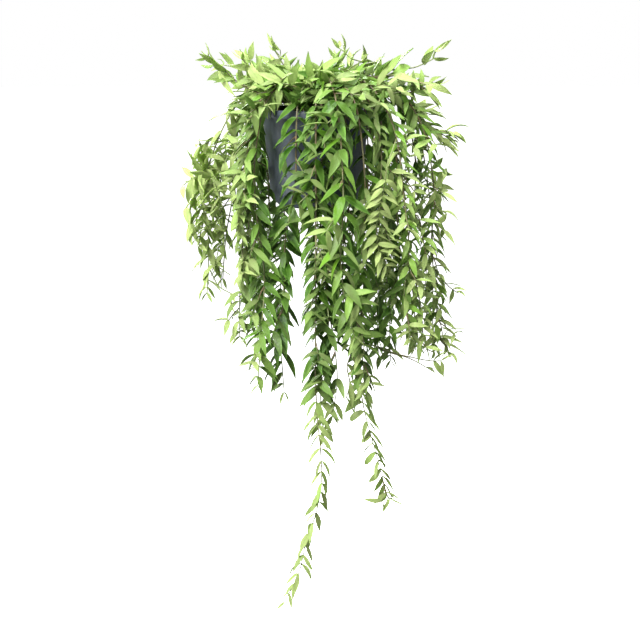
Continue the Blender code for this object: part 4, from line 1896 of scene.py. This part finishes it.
    def branch(self, points: list[Vector], size: float, youth: float, bare: float = 0.0) -> Branch:
        """A side shoot along a route.

        Args:
            points: the places that it grows through, from the stem to its tip.
            size: the size of its leaves, 1 for full size.
            youth: how young it is, with its painted light and shade, from 0 to 1.
            bare: the share of it, from the stem, that has no leaves.

        Returns:
            The shoot.
        """
        route = Route(points)
        pairs = self.shoot_growth.leaf_pairs(route, self.shoot_spreads, size, self.draw)
        kept = max(1, round(len(pairs) * (1 - bare)))
        return Branch(route, pairs[:kept], *self.shoot_radii, youth, self.room)

    def random_shoot(self, spot: Spot, habit: ShootHabit) -> Branch | None:
        """A side shoot that fills the plant out.

        Args:
            spot: where it leaves the stem.
            habit: how it grows.

        Returns:
            The shoot, or None where it would run into the pot, above the mound or below the stem.
        """
        outward = outward_from_axis(spot.point)
        level = outward if abs(spot.along.z) > self.steep else UP + outward
        side = square_to(spot.along, level)
        turn = self.draw.uniform(-habit.turns, habit.turns)
        side.rotate(Matrix.Rotation(math.radians(turn), 3, spot.along))
        spread = math.radians(self.draw.uniform(*habit.spreads))
        heading = spot.along * math.cos(spread) + side * math.sin(spread)
        sway = Vector((self.draw.uniform(-1, 1), self.draw.uniform(-1, 1), 0.0)) * self.shoot_sway
        points = [self.plan.route.curve(spot.stretch, spot.share)]
        lowest = self.plan.route.points[-1].z
        steps = round(self.draw.uniform(*habit.lengths) / habit.step)
        for _ in range(max(habit.least_steps, steps)):
            points.append(points[-1] + heading * habit.step)
            clear = self.is_clear(points[-1], self.room)
            if not clear or not lowest < points[-1].z < habit.ceiling:
                return None
            heading = (heading + sway - UP * habit.droop * habit.step).normalized()
        tones = self.tones
        youth = self.draw.uniform(*tones.shoot_youths)
        youth *= tones.shoot_share + (1.0 - tones.shoot_share) * self.paleness
        # Painted shade: near the pot's wall a shoot keeps only a part of its paleness; the stem's share is
        # added.
        youth = self.pale_share + youth * self.lit(spot.point, tones.shaded_youth)
        return self.branch(points, self.plan.size * self.draw.uniform(*habit.sizes), youth)

    def shown_shoot(self, row: SideShoot) -> Branch:
        """Grows a side shoot that shows from the front.

        Args:
            row: where it grows.

        Returns:
            The shoot.
        """
        distance = 0.0
        while self.plan.route.spot(distance).point.z < row.height:
            distance += self.search_step
        spot = self.plan.route.spot(distance)
        points = [self.plan.route.curve(spot.stretch, spot.share)]
        points += [Vector((x, row.depth, z)) for x, z in row.points]
        route = Route(points).centre_line(self.ring_step)
        shoot = self.branch(route, row.size, row.youth + self.pale_share, row.bare)
        return replace(shoot, room=self.shown_room)

    def branches(self) -> list[Branch]:
        """The stem itself and its side shoots.

        Returns:
            The branches, with the stem first.
        """
        route = self.plan.route
        grown = [Branch(route, self.plan.pairs, self.root_radius, self.tip_radius, self.pale_share,
                        self.room)]
        grown += [self.shown_shoot(row) for row in SIDE_SHOOTS.get(self.plan.node, ())]
        if self.plan.node in self.bare_stems:
            return grown
        for zone in Zone:
            spots = zone.value.spots(route, self.draw)
            shoots = [self.random_shoot(spot, zone.value) for spot in spots]
            grown += [shoot for shoot in shoots if shoot]
        return grown

    def daylight(self, place: Vector) -> float:
        """How much light is painted on the leaves at a place: 0 by the pot's wall, 1 outside, on top and
        on the tails.
        """
        return max(share_between(place.xy.length, self.shaded_radius, self.open_radius),
                   self.growth.on_tail(place), share_between(place.z, *self.mound_heights))

    def lit(self, place: Vector, shaded: float) -> float:
        """The daylight of a place, with a share of it left in the shade."""
        return shaded + (1.0 - shaded) * self.daylight(place)

    def youth(self, slot: int, branch: Branch) -> float:
        """How young a leaf is, with painted shade by the pot's wall, painted light on the tails and chance
        painted highlights.

        Args:
            slot: the number of its pair, counted from the tip.
            branch: what it grows on.

        Returns:
            How young and how pale it is, from 0 to 1.
        """
        tones = self.tones
        place = branch.pairs[slot][0].spot.point
        youth = tones.tip_youth * max(0.0, 1 - slot / tones.young_pairs)
        youth += tones.small_youth * self.paleness
        youth += tones.upright_youth if self.plan.kind is StemKind.UPRIGHT else 0.0
        youth += self.draw.uniform(*tones.youth_shifts)
        # Painted shade: by the pot's wall a leaf keeps only a part of its paleness.
        youth *= self.lit(place, tones.shaded_youth)
        # Painted highlights: a chance share of the leaves in the light are made paler.
        if self.draw.random() < tones.painted_highlight_chance * self.daylight(place):
            youth += tones.painted_highlight
        # Painted light: leaves on the tails are made paler. The branch's own share is added too.
        youth += branch.youth + tones.tail_painted_light * self.growth.on_tail(place)
        return tones.palest * share_between(youth, 0.0, 1.0)

    def add_leaf(self, leaf: Leaf, branch: Branch, matrix: Matrix, youth: float) -> bpy.types.Object:
        """Copies a leaf to its place.

        Args:
            leaf: the leaf's sizes.
            branch: what it grows on.
            matrix: its place.
            youth: how young it is, with the painted light and shade of its place, from 0 to 1.

        Returns:
            The copy, with its own mesh.
        """
        form = self.draw.choices(list(LeafForm), self.form_weights)[0]
        mesh = self.patterns[form].data.copy()
        spot = leaf.spot
        shift = branch.route.curve(spot.stretch, spot.share) - spot.point
        long, wide = leaf.length / self.pattern.length, leaf.width / self.pattern.width
        on_tail = self.growth.on_tail(spot.point)
        wide *= self.draw.uniform(*self.breadths) + self.tail_breadth * on_tail
        long *= self.slim_length + self.tail_length * on_tail
        long *= 1.0 + self.young_length * self.pale_share
        roll = Matrix.Rotation(self.draw.uniform(*self.rolls), 4, "Y")
        size = Matrix.Diagonal((wide, long, long, 1.0))
        mesh.transform(Matrix.Translation(shift) @ matrix @ roll @ size)
        tones = self.tones
        # Painted shade: by the pot's wall the random tone is cut to a small share, so those leaves are
        # darker.
        tint = self.lit(spot.point, tones.shaded_tint) * self.draw.uniform(*tones.tints)
        fill_attribute(mesh, Attribute.TINT, tones.small_tint * self.paleness + tint)
        fill_attribute(mesh, Attribute.YOUTH, youth)
        return placed("leaf", mesh)

    def leaves(self, branch: Branch, corners: KDTree | None) -> list[bpy.types.Object]:
        """Every leaf of a branch.

        Args:
            branch: the stem itself or a side shoot.
            corners: the points of the design's solid, or None on a shoot that it lacks.

        Returns:
            The leaves, those of the design in their own places.
        """
        grown = []
        for slot, pair in enumerate(branch.pairs):
            for side, leaf in enumerate(pair):
                place = None
                if corners and slot % self.plan.every == 0:
                    place = self.designed_place(leaf, corners)
                if not place and self.plan.node in self.bare_stems and slot >= self.bare_from:
                    continue
                if not place:
                    leaf = self.in_a_row(leaf, side, slot)
                    place = self.free_place(leaf, branch.room)
                if self.plan.kind is StemKind.UPRIGHT and slot < len(self.sprig_growth):
                    growth = self.sprig_growth[slot]
                    leaf = replace(leaf, length=leaf.length * growth, width=leaf.width * growth)
                if place:
                    grown.append(self.add_leaf(leaf, branch, place, self.youth(slot, branch)))
        return grown

    def bark(self, branch: Branch, finish: bpy.types.Material) -> bpy.types.Object:
        """A smooth tapered tube that is greener towards its tip.

        Args:
            branch: the stem itself or a side shoot.
            finish: the stem's material.

        Returns:
            The tube as a mesh.
        """
        line = branch.route.centre_line(self.ring_step)
        curve = bpy.data.curves.new(self.plan.node, "CURVE")
        curve.dimensions = "3D"
        curve.bevel_depth = 1.0
        curve.bevel_resolution = 1
        curve.use_fill_caps = True
        spline = curve.splines.new("POLY")
        spline.points.add(len(line) - 1)
        for i, (point, place) in enumerate(zip(spline.points, line)):
            point.co = (*place, 1.0)
            share = i / (len(line) - 1)
            point.radius = branch.root_radius + (branch.tip_radius - branch.root_radius) * share
        tube = placed(self.plan.node, curve)
        choose(tube)
        bpy.ops.object.convert(target="MESH")
        face_outwards(tube)
        smooth(tube, self.smooth_angle)
        tube.data.materials.append(finish)
        tree = search_tree(line)
        shares = [tree.find(vert.co)[1] / (len(line) - 1) for vert in tube.data.vertices]
        youth = [min(1.0, max(branch.youth, share ** 2)) for share in shares]
        fill_attribute(tube.data, Attribute.YOUTH, youth)
        fill_attribute(tube.data, Attribute.TINT, 0.0)
        fill_attribute(tube.data, Attribute.UNDER, 0.0)
        if not tube.data.uv_layers:
            tube.data.uv_layers.new(name="UVMap")
        return tube

    def build(self, bark_finish: bpy.types.Material) -> None:
        """Builds the stem with its leaves as one piece.

        Args:
            bark_finish: the material of the stem itself.
        """
        pieces = []
        corners = self.corners()
        for branch in self.branches():
            pieces += [self.bark(branch, bark_finish), *self.leaves(branch, corners)]
            corners = None
        register(joined(pieces, f"leafy_{self.plan.node}"), "foliage", self.plan.node)


@dataclass
class TrailingPlant:
    """All the stems of the plant."""

    pot: GrowersPot
    mix: PottingMix
    pattern: LeafPattern = field(default_factory=LeafPattern)
    leaf_finish: LeafFinish = LeafFinish()
    stem_finish: StemFinish = StemFinish()

    def build(self) -> None:
        """Models the leaf patterns, grows every stem and puts the patterns away."""
        leaf_material = self.leaf_finish.make()
        bark_material = self.stem_finish.make()
        patterns = {form: self.pattern.model(form) for form in LeafForm}
        for leaf in patterns.values():
            leaf.data.materials.append(leaf_material)
        growth = GrowthPlan(self.mix)
        for plan in growth.stems():
            LeafyStem(plan, growth, self.pot, patterns, self.pattern).build(bark_material)
        for leaf in patterns.values():
            bpy.data.objects.remove(leaf, do_unlink=True)


@dataclass(frozen=True)
class Softbox:
    """A square lamp that looks at the plant: its place, its side and its power in watts."""

    place: Triple
    side: float
    power: float


SOFTBOXES = {
    "key_softbox": Softbox((-1.2, -1.8, 1.6), 1.2, 198.0),
    "side_softbox": Softbox((2.0, -1.3, 0.9), 1.2, 16.0),
    "top_softbox": Softbox((0.1, 0.1, 1.9), 1.0, 102.0),
    "back_softbox": Softbox((-0.9, 2.3, 0.7), 1.6, 165.0),
    "low_softbox": Softbox((-1.7, -0.5, -0.7), 1.0, 40.0),
}


@dataclass
class Studio:
    """A plain pale floor, soft light and the camera of the photograph."""

    floor_z: float = -1.25
    floor_size: float = 60.0
    camera_place: Triple = (0.0, -1.90, 0.12)
    camera_target: Triple = (0.006, 0.0, -0.300)
    lens: float = 74.0
    sensor: float = 36.0
    sky: float = 0.53
    paper: Colour = (0.93, 0.93, 0.93)
    paper_glow: float = 1.0

    def floor(self) -> None:
        """The plain pale floor, well below the plant's tails, which sends it no light."""
        look_at_nothing()
        bpy.ops.mesh.primitive_plane_add(size=self.floor_size, location=(0.0, 0.0, self.floor_z))
        floor = bpy.context.active_object
        floor.name = floor.data.name = "studio_floor"
        settle(floor)
        floor.visible_diffuse = floor.visible_glossy = floor.visible_transmission = False
        paper = Recipe("studio_paper")
        paper.surface(Base_Color=self.paper, Roughness=0.9, Emission_Color=self.paper,
                      Emission_Strength=self.paper_glow)
        floor.data.materials.append(paper.material)

    def lamps(self) -> None:
        """The softboxes, turned to the plant."""
        for name, box in SOFTBOXES.items():
            lamp = bpy.data.lights.new(name, "AREA")
            lamp.size = box.side
            lamp.energy = box.power
            obj = placed(name, lamp)
            obj.visible_camera = False
            aim(obj, box.place, self.camera_target)

    def surroundings(self) -> None:
        """White surroundings that light the plant from all round, a little dimmer than they look."""
        world = bpy.data.worlds.new("studio_world")
        sky = Nodes(world)
        seen = sky.add("ShaderNodeLightPath", output="Is Camera Ray")
        sockets = {"Value": seen, "To Min": self.sky, "To Max": 1.0}
        background = sky.tree.nodes["Background"].inputs
        sky.plug(background["Color"], (1.0, 1.0, 1.0))
        sky.plug(background["Strength"], sky.add("ShaderNodeMapRange", {}, sockets))
        bpy.context.scene.world = world
        bpy.context.scene.view_settings.view_transform = "Standard"

    def camera(self) -> None:
        """The camera at the photograph's angle."""
        lens = bpy.data.cameras.new("photo_camera")
        lens.lens = self.lens
        lens.sensor_width = self.sensor
        camera = placed("photo_camera", lens)
        aim(camera, self.camera_place, self.camera_target)
        bpy.context.scene.camera = camera

    def build(self) -> None:
        """Builds the floor, the surroundings, the lamps and the camera."""
        self.floor()
        self.surroundings()
        self.lamps()
        self.camera()


def main() -> None:
    """Builds the studio, the pot, the potting mix and the plant."""
    logging.basicConfig(level=logging.INFO, format="%(message)s")
    Studio().build()
    pot = GrowersPot()
    pot.build()
    mix = PottingMix(pot)
    mix.build()
    TrailingPlant(pot, mix).build()


if __name__ == "__main__":
    main()
